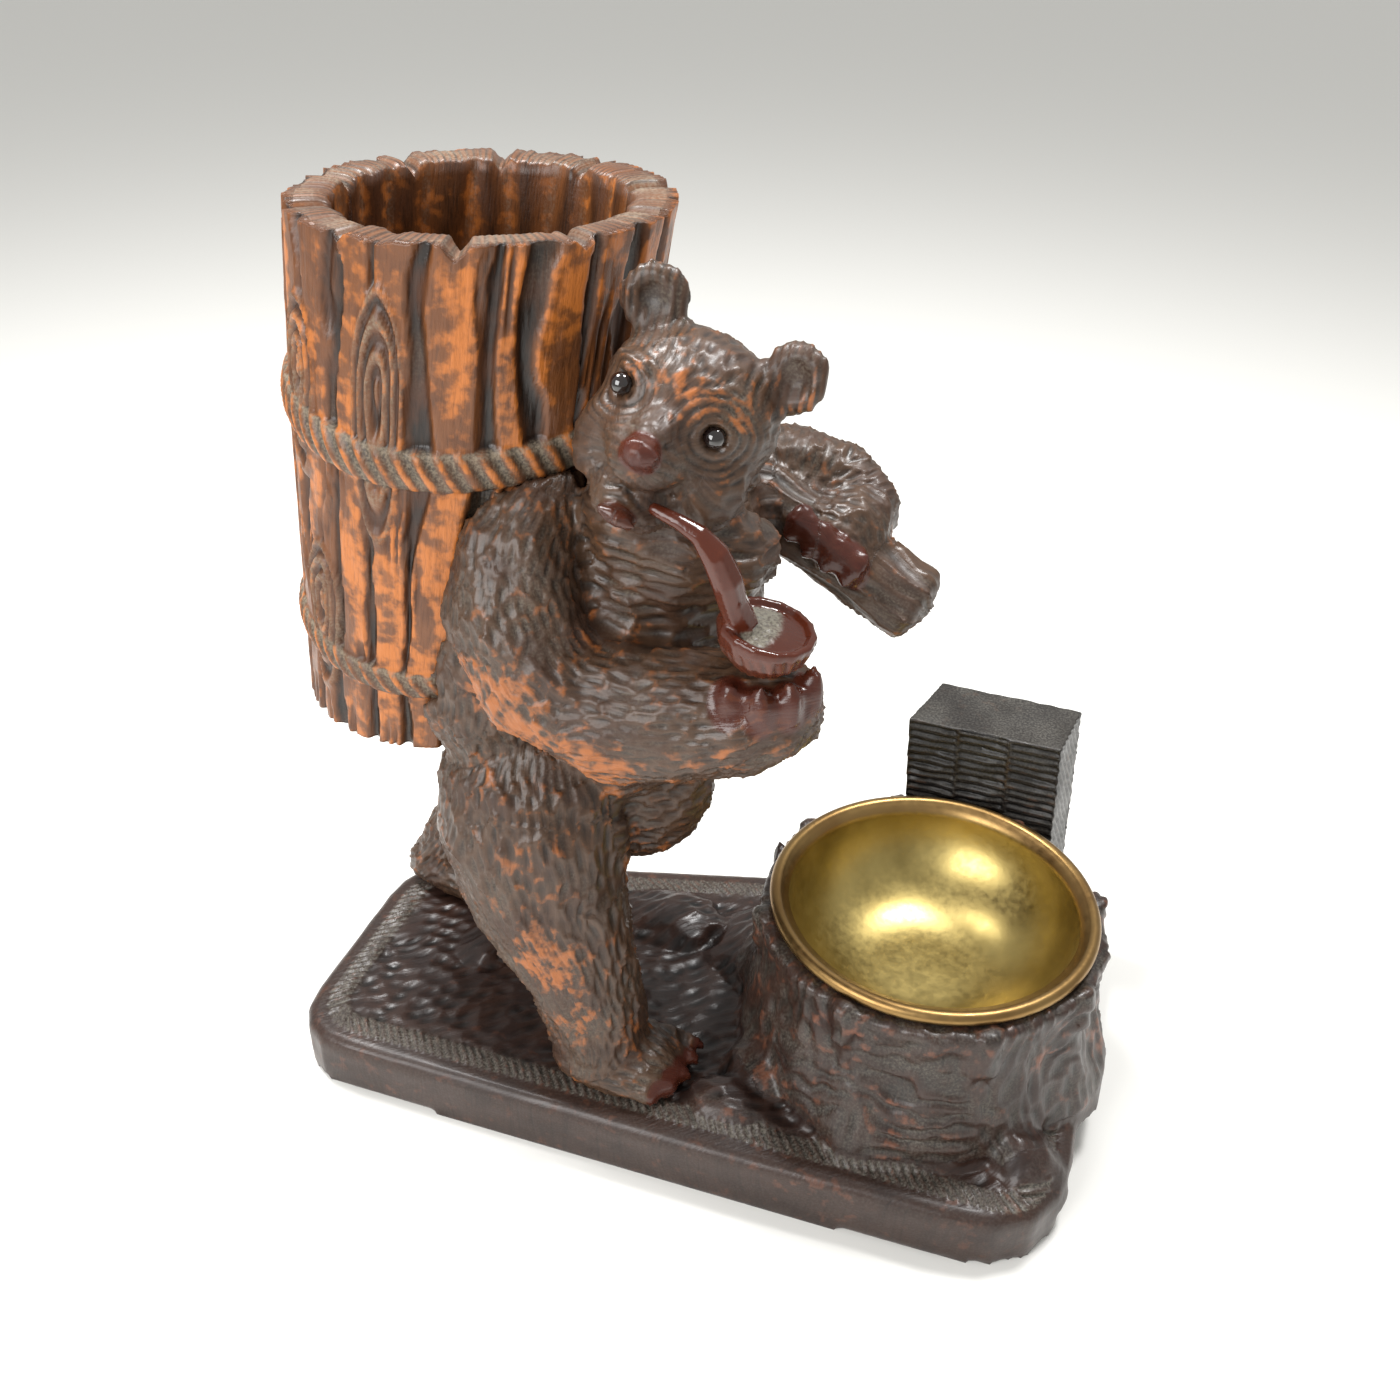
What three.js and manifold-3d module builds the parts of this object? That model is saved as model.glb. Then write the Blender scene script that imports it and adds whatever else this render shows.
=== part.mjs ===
// Carved bear smoker's set: a striding bear carries a hollow tree trunk, the tobacco jar, on its back.
// Millimetres, +Z up. +X runs along the base the way the bear walks, and -Y is the side its face is turned to.
// The origin is on the underside of the base, near its middle.

import * as THREE from 'three';
import { mergeVertices } from 'three/addons/utils/BufferGeometryUtils.js';
import Module from 'manifold-3d';

const wasm = await Module();
wasm.setup();

// Driving dimensions

const GAP = 0.3;

const base = {
  thick: 14,
  left: -90,
  right: 82.5,
  front: -54,
  backLeft: 9,
  backRight: 55,
  bow: 1.2,
  corner: 15,
  frontRightCorner: 24,
  edgeRound: 1.6,
};

const border = { inset: 6.5, half: 2.1, proud: 0.9, pitch: 3.1 };

const stump = {
  x: 44,
  y: -5.5,
  top: 49.5,
  rimRadius: 37.2,
  waistRadius: 36,
  footRadius: 39.5,
  around: 32,
  ridges: 11,
  ridgeDepth: 1.3,
};

const bowl = { radius: 35, rimTop: 53, roll: 1.5, wall: 1.1, depth: 23, floorRadius: 9, around: 24 };

const block = {
  frontLeft: [29.4, 33],
  frontRight: [64.4, 32],
  backRight: [67.6, 50],
  backLeft: [34.4, 51.2],
  top: 70,
  lean: -0.075,
  cutDepth: 0.7,
};

const trunk = {
  rimX: -48,
  rimY: -13,
  rimZ: 190,
  footX: -62,
  footY: -13,
  footZ: 90,
  rimRadius: 32.8,
  waistRadius: 30.6,
  footRadius: 28.4,
  wall: 7.6,
  floor: 12,
  around: 40,
  barkDepth: 1.3,
  barkRidges: 13,
  notches: 10,
  notchDepth: 1.9,
};

const ropes = [
  { z: 153, half: 3.3, proud: 1.6, strands: 20 },
  { z: 107.5, half: 2.3, proud: 1.4, strands: 20 },
];

const knots = [
  { turn: -128, z: 168, wide: 6, high: 11, proud: 1.4 },
  { turn: -92, z: 170, wide: 5.5, high: 16, proud: 1.5 },
  { turn: -118, z: 122, wide: 6, high: 11, proud: 1.4 },
  { turn: 168, z: 128, wide: 6, high: 12, proud: 1.3 },
  { turn: 95, z: 166, wide: 6, high: 13, proud: 1.3 },
  { turn: 120, z: 120, wide: 6, high: 10, proud: 1.3 },
];

const head = {
  at: [-4.7, -43, 168.7],
  toViewer: [0.287, -0.878, 0.383],
  tilt: 27,
  nod: 12,
  turn: 8,
  eyeSpread: 8.2,
  eyeRadius: 1.75,
};

// Finishes

const darkWood = new THREE.MeshStandardMaterial({ color: 0x4a2c1c, roughness: 0.5, metalness: 0 });
const barkWood = new THREE.MeshStandardMaterial({ color: 0x5e3a22, roughness: 0.55, metalness: 0 });
const baseWood = new THREE.MeshStandardMaterial({ color: 0x3a2219, roughness: 0.45, metalness: 0 });
const blockWood = new THREE.MeshStandardMaterial({ color: 0x241a16, roughness: 0.5, metalness: 0 });
const pipeWood = new THREE.MeshStandardMaterial({ color: 0x5a2c18, roughness: 0.25, metalness: 0 });
const brass = new THREE.MeshStandardMaterial({ color: 0xa58a42, roughness: 0.35, metalness: 1 });
const glass = new THREE.MeshStandardMaterial({ color: 0x0a0a0c, roughness: 0.08, metalness: 0 });

// Solids from geometry

// Closed solid of a geometry whose shared vertices are merged; a shell that came out inside out is turned.
function solid(geometry) {
  const bare = geometry.clone();
  bare.deleteAttribute('normal');
  bare.deleteAttribute('uv');
  const merged = mergeVertices(bare, 1e-4);
  const index = Array.from(merged.index.array);
  const triangles = [];
  for (let i = 0; i < index.length; i += 3) {
    const [a, b, c] = [index[i], index[i + 1], index[i + 2]];
    if (a !== b && b !== c && c !== a) triangles.push(a, b, c);
  }
  const make = (triVerts) => new wasm.Manifold(new wasm.Mesh({
    numProp: 3,
    vertProperties: new Float32Array(merged.attributes.position.array),
    triVerts: new Uint32Array(triVerts),
  }));
  const first = make(triangles);
  if (first.volume() > 0) return first;
  return make(triangles.reverse());
}

function joined(solids) {
  return solids.reduce((all, one) => all.add(one));
}

function mesh(name, body, material) {
  const data = body.getMesh();
  const geometry = new THREE.BufferGeometry();
  const stride = data.numProp;
  const position = new Float32Array((data.vertProperties.length / stride) * 3);
  for (let i = 0; i < position.length / 3; i += 1) {
    for (let k = 0; k < 3; k += 1) position[3 * i + k] = data.vertProperties[stride * i + k];
  }
  geometry.setAttribute('position', new THREE.BufferAttribute(position, 3));
  geometry.setIndex(new THREE.BufferAttribute(new Uint32Array(data.triVerts), 1));
  geometry.computeVertexNormals();
  const made = new THREE.Mesh(geometry, material);
  made.name = name;
  return made;
}

// Moves every vertex of a geometry to the place that move gives for it.
function shaped(geometry, move) {
  const place = geometry.attributes.position;
  const point = new THREE.Vector3();
  for (let i = 0; i < place.count; i += 1) {
    point.fromBufferAttribute(place, i);
    move(point);
    place.setXYZ(i, point.x, point.y, point.z);
  }
  return geometry;
}

const smooth = (low, high, value) => THREE.MathUtils.smoothstep(value, low, high);
const mix = THREE.MathUtils.lerp;
const radians = THREE.MathUtils.degToRad;

// Shortest turn between two directions, in radians.
function turnBetween(a, b) {
  return Math.abs(Math.atan2(Math.sin(a - b), Math.cos(a - b)));
}

// Round-ended body along a line. Each station is a place with its half width along side and its other half.
// plump sets how soon the ends fill out, and tuft is the depth of the alternating fur locks.
function fleshed({ stations, side, around = 16, along = 12, plump = 3, tuft = 0, grow = 0, frame = null }) {
  const toPlace = (at) => (frame ? frame.place(at) : new THREE.Vector3(...at));
  const toward = frame ? frame.direction(side) : new THREE.Vector3(...side);
  const line = new THREE.CatmullRomCurve3(stations.map((s) => toPlace(s.at)), false, 'catmullrom', 0.5);
  const halves = stations.map((s) => new THREE.Vector3(s.half[0], s.half[1], 0));
  const girth = new THREE.CatmullRomCurve3(halves, false, 'catmullrom', 0.5);
  const ball = new THREE.SphereGeometry(1, around, along);
  return solid(shaped(ball, (p) => {
    const reach = THREE.MathUtils.clamp((1 - p.y) / 2, 0, 1);
    const ring = Math.hypot(p.x, p.z);
    const turn = Math.atan2(p.z, p.x);
    const level = Math.round((Math.acos(THREE.MathUtils.clamp(p.y, -1, 1)) / Math.PI) * along);
    const slot = Math.round((turn / (2 * Math.PI)) * around);
    const centre = line.getPoint(reach);
    const ahead = line.getTangent(reach);
    const half = girth.getPoint(reach);
    const across = toward.clone().addScaledVector(ahead, -toward.dot(ahead)).normalize();
    const third = ahead.clone().cross(across);
    const fill = ring < 1e-6 ? 0 : (1 - Math.abs(p.y) ** plump) ** (1 / plump);
    const lock = tuft * ((level + slot) % 2 === 0 ? 1 : -1) * fill;
    const wide = (half.x + grow) * fill + lock;
    const deep = (half.y + grow) * fill + lock;
    const end = ahead.clone().multiplyScalar(-p.y * grow);
    p.copy(centre).add(end);
    if (fill > 0) {
      p.addScaledVector(across, wide * Math.cos(turn));
      p.addScaledVector(third, deep * Math.sin(turn));
    }
  }));
}

// Plain egg with its own half sizes along the frame's or the world's axes.
function egg({ at, half, around = 10, along = 7, frame = null, turn = [0, 0, 0] }) {
  const ball = new THREE.SphereGeometry(1, around, along);
  const twist = new THREE.Euler(...turn.map(radians));
  return solid(shaped(ball, (p) => {
    p.set(p.x * half[0], p.y * half[1], p.z * half[2]).applyEuler(twist);
    const moved = [p.x + at[0], p.y + at[1], p.z + at[2]];
    if (frame) p.copy(frame.place(moved));
    else p.set(...moved);
  }));
}

// The head's own axes: across its face to the right of the photograph, up its brow, and out of its face.
function headAxes() {
  const out = new THREE.Vector3(...head.toViewer).normalize();
  const level = new THREE.Vector3(0, 0, 1).cross(out).normalize();
  const brow = out.clone().cross(level);
  const spin = new THREE.Quaternion().setFromAxisAngle(out, radians(-head.tilt));
  const across = level.applyQuaternion(spin);
  const up = brow.applyQuaternion(spin);
  const nod = new THREE.Quaternion().setFromAxisAngle(across, radians(head.nod));
  out.applyQuaternion(nod);
  up.applyQuaternion(nod);
  const turn = new THREE.Quaternion().setFromAxisAngle(up, radians(-head.turn));
  out.applyQuaternion(turn);
  across.applyQuaternion(turn);
  const origin = new THREE.Vector3(...head.at);
  const direction = ([s, u, f]) => new THREE.Vector3()
    .addScaledVector(across, s).addScaledVector(up, u).addScaledVector(out, f);
  return { direction, place: (at) => direction(at).add(origin) };
}

const face = headAxes();

// Base, one carving with the stump

// Outline of the plank, pulled in by a margin.
function plankOutline(margin) {
  const { left, right, front, backLeft, backRight, corner, frontRightCorner, bow } = base;
  const corners = [
    { x: left, y: front, r: corner },
    { x: right, y: front, r: frontRightCorner },
    { x: right, y: backRight, r: corner },
    { x: left, y: backLeft, r: corner },
  ];
  const middle = new THREE.Vector2((left + right) / 2, (front + backLeft) / 2);
  const pulled = corners.map(({ x, y, r }) => ({
    x: x + Math.sign(middle.x - x) * margin,
    y: y + Math.sign(middle.y - y) * margin,
    r: Math.max(r - margin, 2),
  }));
  const outline = new THREE.Shape();
  pulled.forEach((here, i) => {
    const before = pulled[(i + 3) % 4];
    const after = pulled[(i + 1) % 4];
    const point = new THREE.Vector2(here.x, here.y);
    const back = new THREE.Vector2(before.x, before.y).sub(point).setLength(here.r).add(point);
    const on = new THREE.Vector2(after.x, after.y).sub(point).setLength(here.r).add(point);
    if (i === 0) outline.moveTo(back.x, back.y);
    else if (i === 1) outline.quadraticCurveTo((pulled[0].x + here.x) / 2, here.y - bow, back.x, back.y);
    else outline.lineTo(back.x, back.y);
    outline.quadraticCurveTo(here.x, here.y, on.x, on.y);
  });
  outline.closePath();
  return outline;
}

function plank() {
  const geometry = new THREE.ExtrudeGeometry(plankOutline(base.edgeRound), {
    depth: base.thick - base.edgeRound,
    bevelEnabled: true,
    bevelSize: base.edgeRound,
    bevelThickness: base.edgeRound,
    bevelSegments: 1,
    curveSegments: 4,
  });
  const flat = new THREE.BoxGeometry(300, 300, 20).translate(0, 0, -10);
  return solid(geometry).subtract(solid(flat));
}

// Row of slanted chips along the border, a low ridge whose crest rises and falls from chip to chip.
function chippedBorder() {
  const outline = plankOutline(border.inset).getSpacedPoints(66).slice(0, -1);
  const count = outline.length;
  const ring = new THREE.TorusGeometry(1, 0.5, 3, count);
  return solid(shaped(ring, (p) => {
    const turn = Math.atan2(p.y, p.x);
    const slot = (Math.round((turn / (2 * Math.PI)) * count) + count) % count;
    const outward = Math.hypot(p.x, p.y) - 1;
    const here = outline[slot];
    const next = outline[(slot + 1) % count];
    const last = outline[(slot + count - 1) % count];
    const along = new THREE.Vector2().subVectors(next, last).normalize();
    const chip = slot % 2 === 0 ? 1 : 0.35;
    const across = outward * 2 * border.half;
    const slant = outward * border.pitch * 0.6;
    const height = base.thick - 0.6 + p.z * 2 * (border.proud + 0.6) * (p.z > 0 ? chip : 1);
    p.set(here.x + along.y * across + along.x * slant, here.y - along.x * across + along.y * slant, height);
  }));
}

// Low mounds and boulders of the ground, behind the bear's near leg and up to the stump.
function ground() {
  const lump = (at, half, turn = 0) => egg({ at, half, around: 8, along: 5, turn: [90, 0, turn] });
  return [
    lump([6, 6, 11], [24, 10, 18], 20),
    lump([-24, 8, 11], [20, 6.5, 12], 15),
    lump([60, 34, 11], [22, 9, 13], 10),
    lump([16, -30, 11], [11, 9, 14], -25),
    lump([14, -42, 12], [14, 6, 8], -20),
    lump([74, -36, 12], [7, 11, 8], 40),
    lump([76, 6, 12], [8, 14, 18], 0),
    lump([-62, -14, 12], [12, 3.5, 10], 30),
  ];
}

// Reach of the stump's wall at a height and a turn: bark ridges, and roots that spread at the foot.
function stumpReach(z, turn) {
  const rise = THREE.MathUtils.clamp((z - base.thick) / (stump.top - base.thick), 0, 1);
  const plain = mix(stump.footRadius, stump.waistRadius, smooth(0, 0.75, rise))
    + (stump.rimRadius - stump.waistRadius) * smooth(0.7, 1, rise);
  const ridge = stump.ridgeDepth * Math.cos(stump.ridges * turn + 2.1 * Math.sin(3 * turn));
  const root = Math.max(0, Math.cos(4 * turn + 0.6)) ** 2 * 4.5 * (1 - smooth(0, 0.55, rise));
  return plain + ridge * (0.4 + 0.6 * Math.sin(Math.PI * rise)) + root;
}

function stumpBody() {
  const levels = [base.thick - 4, 19, 26, 34, 42, stump.top];
  const profile = [new THREE.Vector2(0, levels[0])];
  levels.forEach((z) => profile.push(new THREE.Vector2(stump.rimRadius, z)));
  profile.push(new THREE.Vector2(bowl.radius - 2 * bowl.roll, stump.top));
  profile.push(new THREE.Vector2(0, stump.top));
  const geometry = new THREE.LatheGeometry(profile, stump.around).rotateX(Math.PI / 2);
  return solid(shaped(geometry, (p) => {
    const reach = Math.hypot(p.x, p.y);
    const turn = Math.atan2(p.y, p.x);
    const onWall = reach > stump.rimRadius - 0.01;
    const wide = onWall ? stumpReach(p.z, turn) : reach;
    const cut = reach < 0.01 ? 0 : wide / reach;
    p.set(stump.x + p.x * cut, stump.y + p.y * cut, p.z);
  }));
}

// Straps of bark that stand up round the stump's rim and hold the bowl.
function strap(turnDegrees, tall) {
  const turn = radians(turnDegrees);
  const slab = new THREE.BoxGeometry(3.2, 3.4, tall);
  slab.translate(stump.rimRadius - 0.2, 0, stump.top + 1.2 - tall / 2).rotateZ(turn);
  return solid(slab.translate(stump.x, stump.y, 0));
}

function bowlRecess() {
  return solid(bowlProfile(GAP, true));
}

function baseAndStump() {
  const straps = [[-158, 9], [-108, 10], [-62, 12], [-24, 10], [22, 9], [68, 10], [112, 9], [150, 11]];
  const spike = fleshed({
    stations: [
      { at: [12, 15, 16], half: [6, 5] },
      { at: [7, 16.6, 29], half: [4, 3.5] },
      { at: [4.4, 17.5, 38.5], half: [1.6, 1.6] },
    ],
    side: [0, 1, 0],
    around: 6,
    along: 5,
  });
  const parts = [plank(), chippedBorder(), ...ground(), stumpBody(), spike];
  straps.forEach(([turn, tall]) => parts.push(strap(turn, tall)));
  const below = new THREE.BoxGeometry(300, 300, 40).translate(0, 0, -20);
  const seat = new THREE.BoxGeometry(60, 40, 60).translate(52, 42, base.thick + 30);
  return joined(parts)
    .subtract(bowlRecess())
    .subtract(solid(below))
    .subtract(solid(seat).intersect(blockBody(GAP)))
    .subtract(standingRoom());
}

// Room of the bear's legs and feet above the plank, with a small gap.
function standingRoom() {
  const skim = 0.05;
  const tall = 60;
  const above = new THREE.BoxGeometry(300, 300, tall).translate(0, 0, base.thick + skim + tall / 2);
  return joined([...nearLeg(GAP), ...farLeg(GAP)]).intersect(solid(above));
}

// Brass bowl

// Turned profile of the bowl; the filled one is the room that the bowl takes up in the stump.
function bowlProfile(grow, filled) {
  const { radius, rimTop, roll, wall, depth, floorRadius, around } = bowl;
  const bottom = rimTop - depth;
  const inner = radius - 2 * roll;
  const arc = (reach, low, count) => {
    const points = [];
    for (let i = 0; i <= count; i += 1) {
      const turn = (i / count) * (Math.PI / 2);
      const x = floorRadius + (reach - floorRadius) * Math.sin(turn);
      points.push(new THREE.Vector2(x, rimTop - roll - (rimTop - roll - low) * Math.cos(turn)));
    }
    return points;
  };
  const outside = arc(inner + grow, bottom - grow, 3);
  const profile = [new THREE.Vector2(0, bottom - grow), ...outside];
  if (filled) {
    profile.push(new THREE.Vector2(radius + grow, rimTop - roll - 0.9 - grow));
    profile.push(new THREE.Vector2(radius + grow, rimTop + 20));
    profile.push(new THREE.Vector2(0, rimTop + 20));
  } else {
    for (let i = 0; i <= 4; i += 1) {
      const turn = Math.PI * (-0.6 + (i / 4) * 1.45);
      const x = radius - roll + roll * Math.cos(turn);
      profile.push(new THREE.Vector2(x, rimTop - roll + roll * Math.sin(turn)));
    }
    profile.push(...arc(inner - wall, bottom + wall, 3).reverse());
    profile.push(new THREE.Vector2(0, bottom + wall));
  }
  return new THREE.LatheGeometry(profile, around).rotateX(Math.PI / 2).translate(stump.x, stump.y, 0);
}

// Match block, a leaning upright with rows of gouge cuts on its front

function blockBody(grow = 0) {
  const low = base.thick + GAP - grow;
  const rows = 12;
  const columns = 6;
  const box = new THREE.BoxGeometry(1, 1, 1, columns, 1, rows);
  return solid(shaped(box, (p) => {
    const u = p.x + 0.5;
    const v = p.y + 0.5;
    const w = p.z + 0.5;
    const corner = (a, b) => [mix(a[0], b[0], u), mix(a[1], b[1], u)];
    const frontPoint = corner(block.frontLeft, block.frontRight);
    const backPoint = corner(block.backLeft, block.backRight);
    const z = mix(low, block.top + grow, w);
    const shift = (z - block.top) * block.lean;
    const row = Math.round(w * rows);
    const column = Math.round(u * columns);
    const inside = column > 0 && column < columns && row > 0 && row < rows;
    const cut = v < 0.01 && inside && grow === 0 && (row + Math.floor(column / 2)) % 2 === 0 ? block.cutDepth : 0;
    const outX = (u - 0.5) * 2 * grow;
    const outY = (v - 0.5) * 2 * grow;
    p.set(mix(frontPoint[0], backPoint[0], v) + shift + outX, mix(frontPoint[1], backPoint[1], v) + outY + cut, z);
  }));
}

// Hollow tree trunk, the tobacco jar

// Centre of the trunk at a height.
function trunkCentre(z) {
  const rise = (z - trunk.footZ) / (trunk.rimZ - trunk.footZ);
  return [mix(trunk.footX, trunk.rimX, rise), mix(trunk.footY, trunk.rimY, rise)];
}

// Plain radius of the trunk at a height, without bark, ropes and knots.
function trunkRadius(z) {
  const rise = THREE.MathUtils.clamp((z - trunk.footZ) / (trunk.rimZ - trunk.footZ), 0, 1);
  const waist = 0.62;
  if (rise < waist) return mix(trunk.footRadius, trunk.waistRadius, rise / waist);
  return mix(trunk.waistRadius, trunk.rimRadius, (rise - waist) / (1 - waist));
}

// Rise and fall of the ropes round the trunk: they sag over its front and climb on its left.
function ropeDrift(turn) {
  const sag = 1.2 - 2.4 * Math.cos(2 * (turn - radians(-86)));
  return sag - 2 * Math.cos(turn - radians(17));
}

// Height of a level of the trunk at a turn. Levels near the ropes follow them, and the ends stay flat.
function driftedHeight(z, turn) {
  const low = smooth(trunk.footZ, ropes[1].z - ropes[1].half, z);
  const high = 1 - smooth(ropes[0].z + ropes[0].half, trunk.rimZ, z);
  return z + ropeDrift(turn) * low * high;
}

// How far a rope stands out at this level and turn, or nothing away from the ropes.
function ropeProud(z, turn) {
  let proud = 0;
  ropes.forEach((rope) => {
    const away = (z - rope.z) / rope.half;
    const strand = 0.72 + 0.28 * Math.cos(rope.strands * turn + 2.2 * away);
    if (Math.abs(away) < 1.2) proud = Math.max(proud, rope.proud * Math.sqrt(1 - 0.6 * away * away) * strand);
  });
  return proud;
}

function barkRelief(z, turn) {
  const wave = 0.9 * Math.sin(z / 9 + 2 * turn) + 0.5 * Math.sin(z / 4.3 + 5 * turn);
  let relief = -trunk.barkDepth * (0.5 + 0.5 * Math.cos(trunk.barkRidges * turn + wave));
  knots.forEach((knot) => {
    const across = (turnBetween(turn, radians(knot.turn)) * trunk.waistRadius) / knot.wide;
    const away = Math.hypot(across, (z - knot.z) / knot.high);
    if (away < 1) relief = mix(knot.proud * Math.cos((away * Math.PI) / 2), relief, away ** 2);
  });
  return relief;
}

// The jar as carved: bark and ropes outside, a notched rim and a plain hollow.
function trunkBody() {
  const { rimZ, footZ, floor, around } = trunk;
  const onRopes = ropes.flatMap((rope) => [-1.22, -0.5, 0.5, 1.22].map((part) => rope.z + part * rope.half));
  const levels = [footZ, 97, 119, 130, 141, 168, 179, rimZ, ...onRopes].sort((low, high) => low - high);
  const wall = levels.map((z) => new THREE.Vector2(1, z));
  const hollow = [rimZ, 179, footZ + floor].map((z) => new THREE.Vector2(0.5, z));
  const profile = [new THREE.Vector2(0, footZ), ...wall, ...hollow, new THREE.Vector2(0, footZ + floor)];
  const geometry = new THREE.LatheGeometry(profile, around, Math.PI / 2).rotateX(Math.PI / 2);
  return solid(shaped(geometry, (p) => {
    const turn = Math.atan2(p.y, p.x);
    const part = Math.hypot(p.x, p.y);
    const outside = part > 0.75;
    const z = outside ? driftedHeight(p.z, turn) : p.z;
    const [x, y] = trunkCentre(z);
    let reach = 0;
    if (outside) {
      const rope = ropeProud(p.z, turn);
      reach = trunkRadius(z) + (rope > 0 ? rope : barkRelief(z, turn));
    } else if (part > 0.25) {
      reach = trunkRadius(z) - trunk.wall + 0.4 * Math.cos(around / 3 * turn);
    }
    const slot = Math.round((turn / (2 * Math.PI)) * around);
    const notched = part > 0.25 && p.z > rimZ - 0.01 && slot % (around / trunk.notches) === 0;
    p.set(x + reach * Math.cos(turn), y + reach * Math.sin(turn), z - (notched ? trunk.notchDepth : 0));
  }));
}

// Plain room that the jar takes up, with its ropes and a small gap, which is cut out of the bear.
function trunkRoom() {
  const around = 24;
  const bands = [...ropes].reverse().flatMap((rope) => {
    const half = 1.2 * rope.half + GAP;
    const out = rope.proud;
    return [[rope.z - half, 0], [rope.z - half, out], [rope.z + half, out], [rope.z + half, 0]];
  });
  const levels = [[trunk.footZ - GAP, 0], ...bands, [trunk.rimZ, 0]];
  const wall = levels.map(([z, out]) => new THREE.Vector2(1 + out, z));
  const profile = [new THREE.Vector2(0, trunk.footZ - GAP), ...wall, new THREE.Vector2(0, trunk.rimZ)];
  const room = new THREE.LatheGeometry(profile, around).rotateX(Math.PI / 2);
  return solid(shaped(room, (p) => {
    const turn = Math.atan2(p.y, p.x);
    const part = Math.hypot(p.x, p.y);
    const z = part < 0.5 ? p.z : driftedHeight(p.z, turn);
    const [x, y] = trunkCentre(z);
    const reach = part < 0.5 ? 0 : (trunkRadius(z) + GAP + part - 1) / Math.cos(Math.PI / around);
    p.set(x + reach * Math.cos(turn), y + reach * Math.sin(turn), z);
  }));
}

// Pipe

function pipeSolids(grow = 0) {
  const stem = fleshed({
    stations: [
      { at: [-5.4, -49.6, 155.6], half: [1.2, 1.1] },
      { at: [-1.2, -50.4, 154.6], half: [1.3, 1.2] },
      { at: [2.8, -50.4, 152.8], half: [1.7, 1.6] },
      { at: [5.6, -50, 149.4], half: [2.5, 2.4] },
      { at: [7.4, -48.8, 144.4], half: [2.8, 2.7] },
      { at: [8.2, -47.2, 139.4], half: [2.6, 2.5] },
      { at: [9.8, -45.6, 134.6], half: [3.4, 3.2] },
    ],
    side: [0, 1, 0],
    around: 8,
    along: 10,
    plump: 8,
    grow,
  });
  const cup = new THREE.LatheGeometry([
    new THREE.Vector2(0, -7.5 - grow),
    new THREE.Vector2(4.8 + grow, -6.6 - grow),
    new THREE.Vector2(7.6 + grow, -3.6),
    new THREE.Vector2(8.5 + grow, -0.4),
    new THREE.Vector2(8.3 + grow, 0.9 + grow),
    new THREE.Vector2(7.2, 1 + grow),
    new THREE.Vector2(6.6, 0.1 + grow),
    new THREE.Vector2(0, 0.5 + grow),
  ], 14).rotateX(Math.PI / 2);
  cup.rotateY(radians(12)).translate(13, -43.6, 134);
  return stem.add(solid(cup));
}

// Bear

function torso() {
  const trunkOfBody = fleshed({
    stations: [
      { at: [-38, -15, 66], half: [14, 12] },
      { at: [-32, -15, 80], half: [24, 21] },
      { at: [-22, -15, 98], half: [25, 22] },
      { at: [-16, -14, 116], half: [25, 21] },
      { at: [-14, -14, 134], half: [25, 18] },
      { at: [-12, -17, 147], half: [20, 14] },
      { at: [-9, -20, 157], half: [12, 11] },
    ],
    side: [0, 1, 0],
    around: 12,
    along: 8,
    tuft: 0.35,
  });
  const belly = egg({ at: [-20.5, -17, 80], half: [18.4, 22, 14.5], around: 12, along: 7, turn: [90, 0, 0] });
  const flank = fleshed({
    stations: [
      { at: [-38, -33, 126], half: [10, 10] },
      { at: [-44, -34.5, 108], half: [11, 12] },
      { at: [-42, -33, 88], half: [12, 15] },
    ],
    side: [0, 1, 0],
    around: 8,
    along: 5,
    tuft: 0.3,
  });
  const ruff = fleshed({
    stations: [
      { at: [-22, -31, 150], half: [8, 7] },
      { at: [-12, -33.5, 141], half: [10, 7] },
      { at: [0, -29, 137], half: [10, 8] },
      { at: [6, -18, 137], half: [8, 8] },
    ],
    side: [0, 0, 1],
    around: 8,
    along: 6,
    tuft: 0.4,
  });
  return [trunkOfBody, belly, flank, ruff];
}

function nearArm() {
  const limb = fleshed({
    stations: [
      { at: [-30, -26, 152], half: [10, 9] },
      { at: [-34, -34, 138], half: [13.5, 13] },
      { at: [-33, -37.5, 122], half: [15, 14.5] },
      { at: [-22, -40, 111], half: [14.5, 14.5] },
      { at: [-7, -42, 112], half: [12, 13] },
      { at: [7, -42, 115], half: [11, 11.5] },
      { at: [16, -40, 118], half: [10, 10.5] },
      { at: [22, -38, 120], half: [7, 7.5] },
    ],
    side: [0, 1, 0],
    around: 12,
    along: 12,
    plump: 3.5,
    tuft: 0.45,
  });
  const claws = [[8.6, -49.2, 122.2], [14, -49.4, 122.6], [18.6, -47, 123.2], [21.2, -42.8, 124]];
  return [limb, ...claws.map((at) => claw(at, [-0.4, 0.8, 4.2], [0.6, 0.4, -5.6], 2.3))];
}

// Thick claw from its root to its tip, through a middle place.
function claw(at, toTip, toRoot, wide, { along = 4, grow = 0 } = {}) {
  const from = new THREE.Vector3(...at);
  const root = from.clone().add(new THREE.Vector3(...toRoot));
  const tip = from.clone().add(new THREE.Vector3(...toTip));
  return fleshed({
    stations: [
      { at: root.toArray(), half: [wide * 0.9, wide * 0.85] },
      { at, half: [wide, wide * 0.9] },
      { at: tip.toArray(), half: [wide * 0.6, wide * 0.55] },
    ],
    side: [1, 0, 0],
    around: 5,
    along,
    grow,
  });
}

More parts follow.
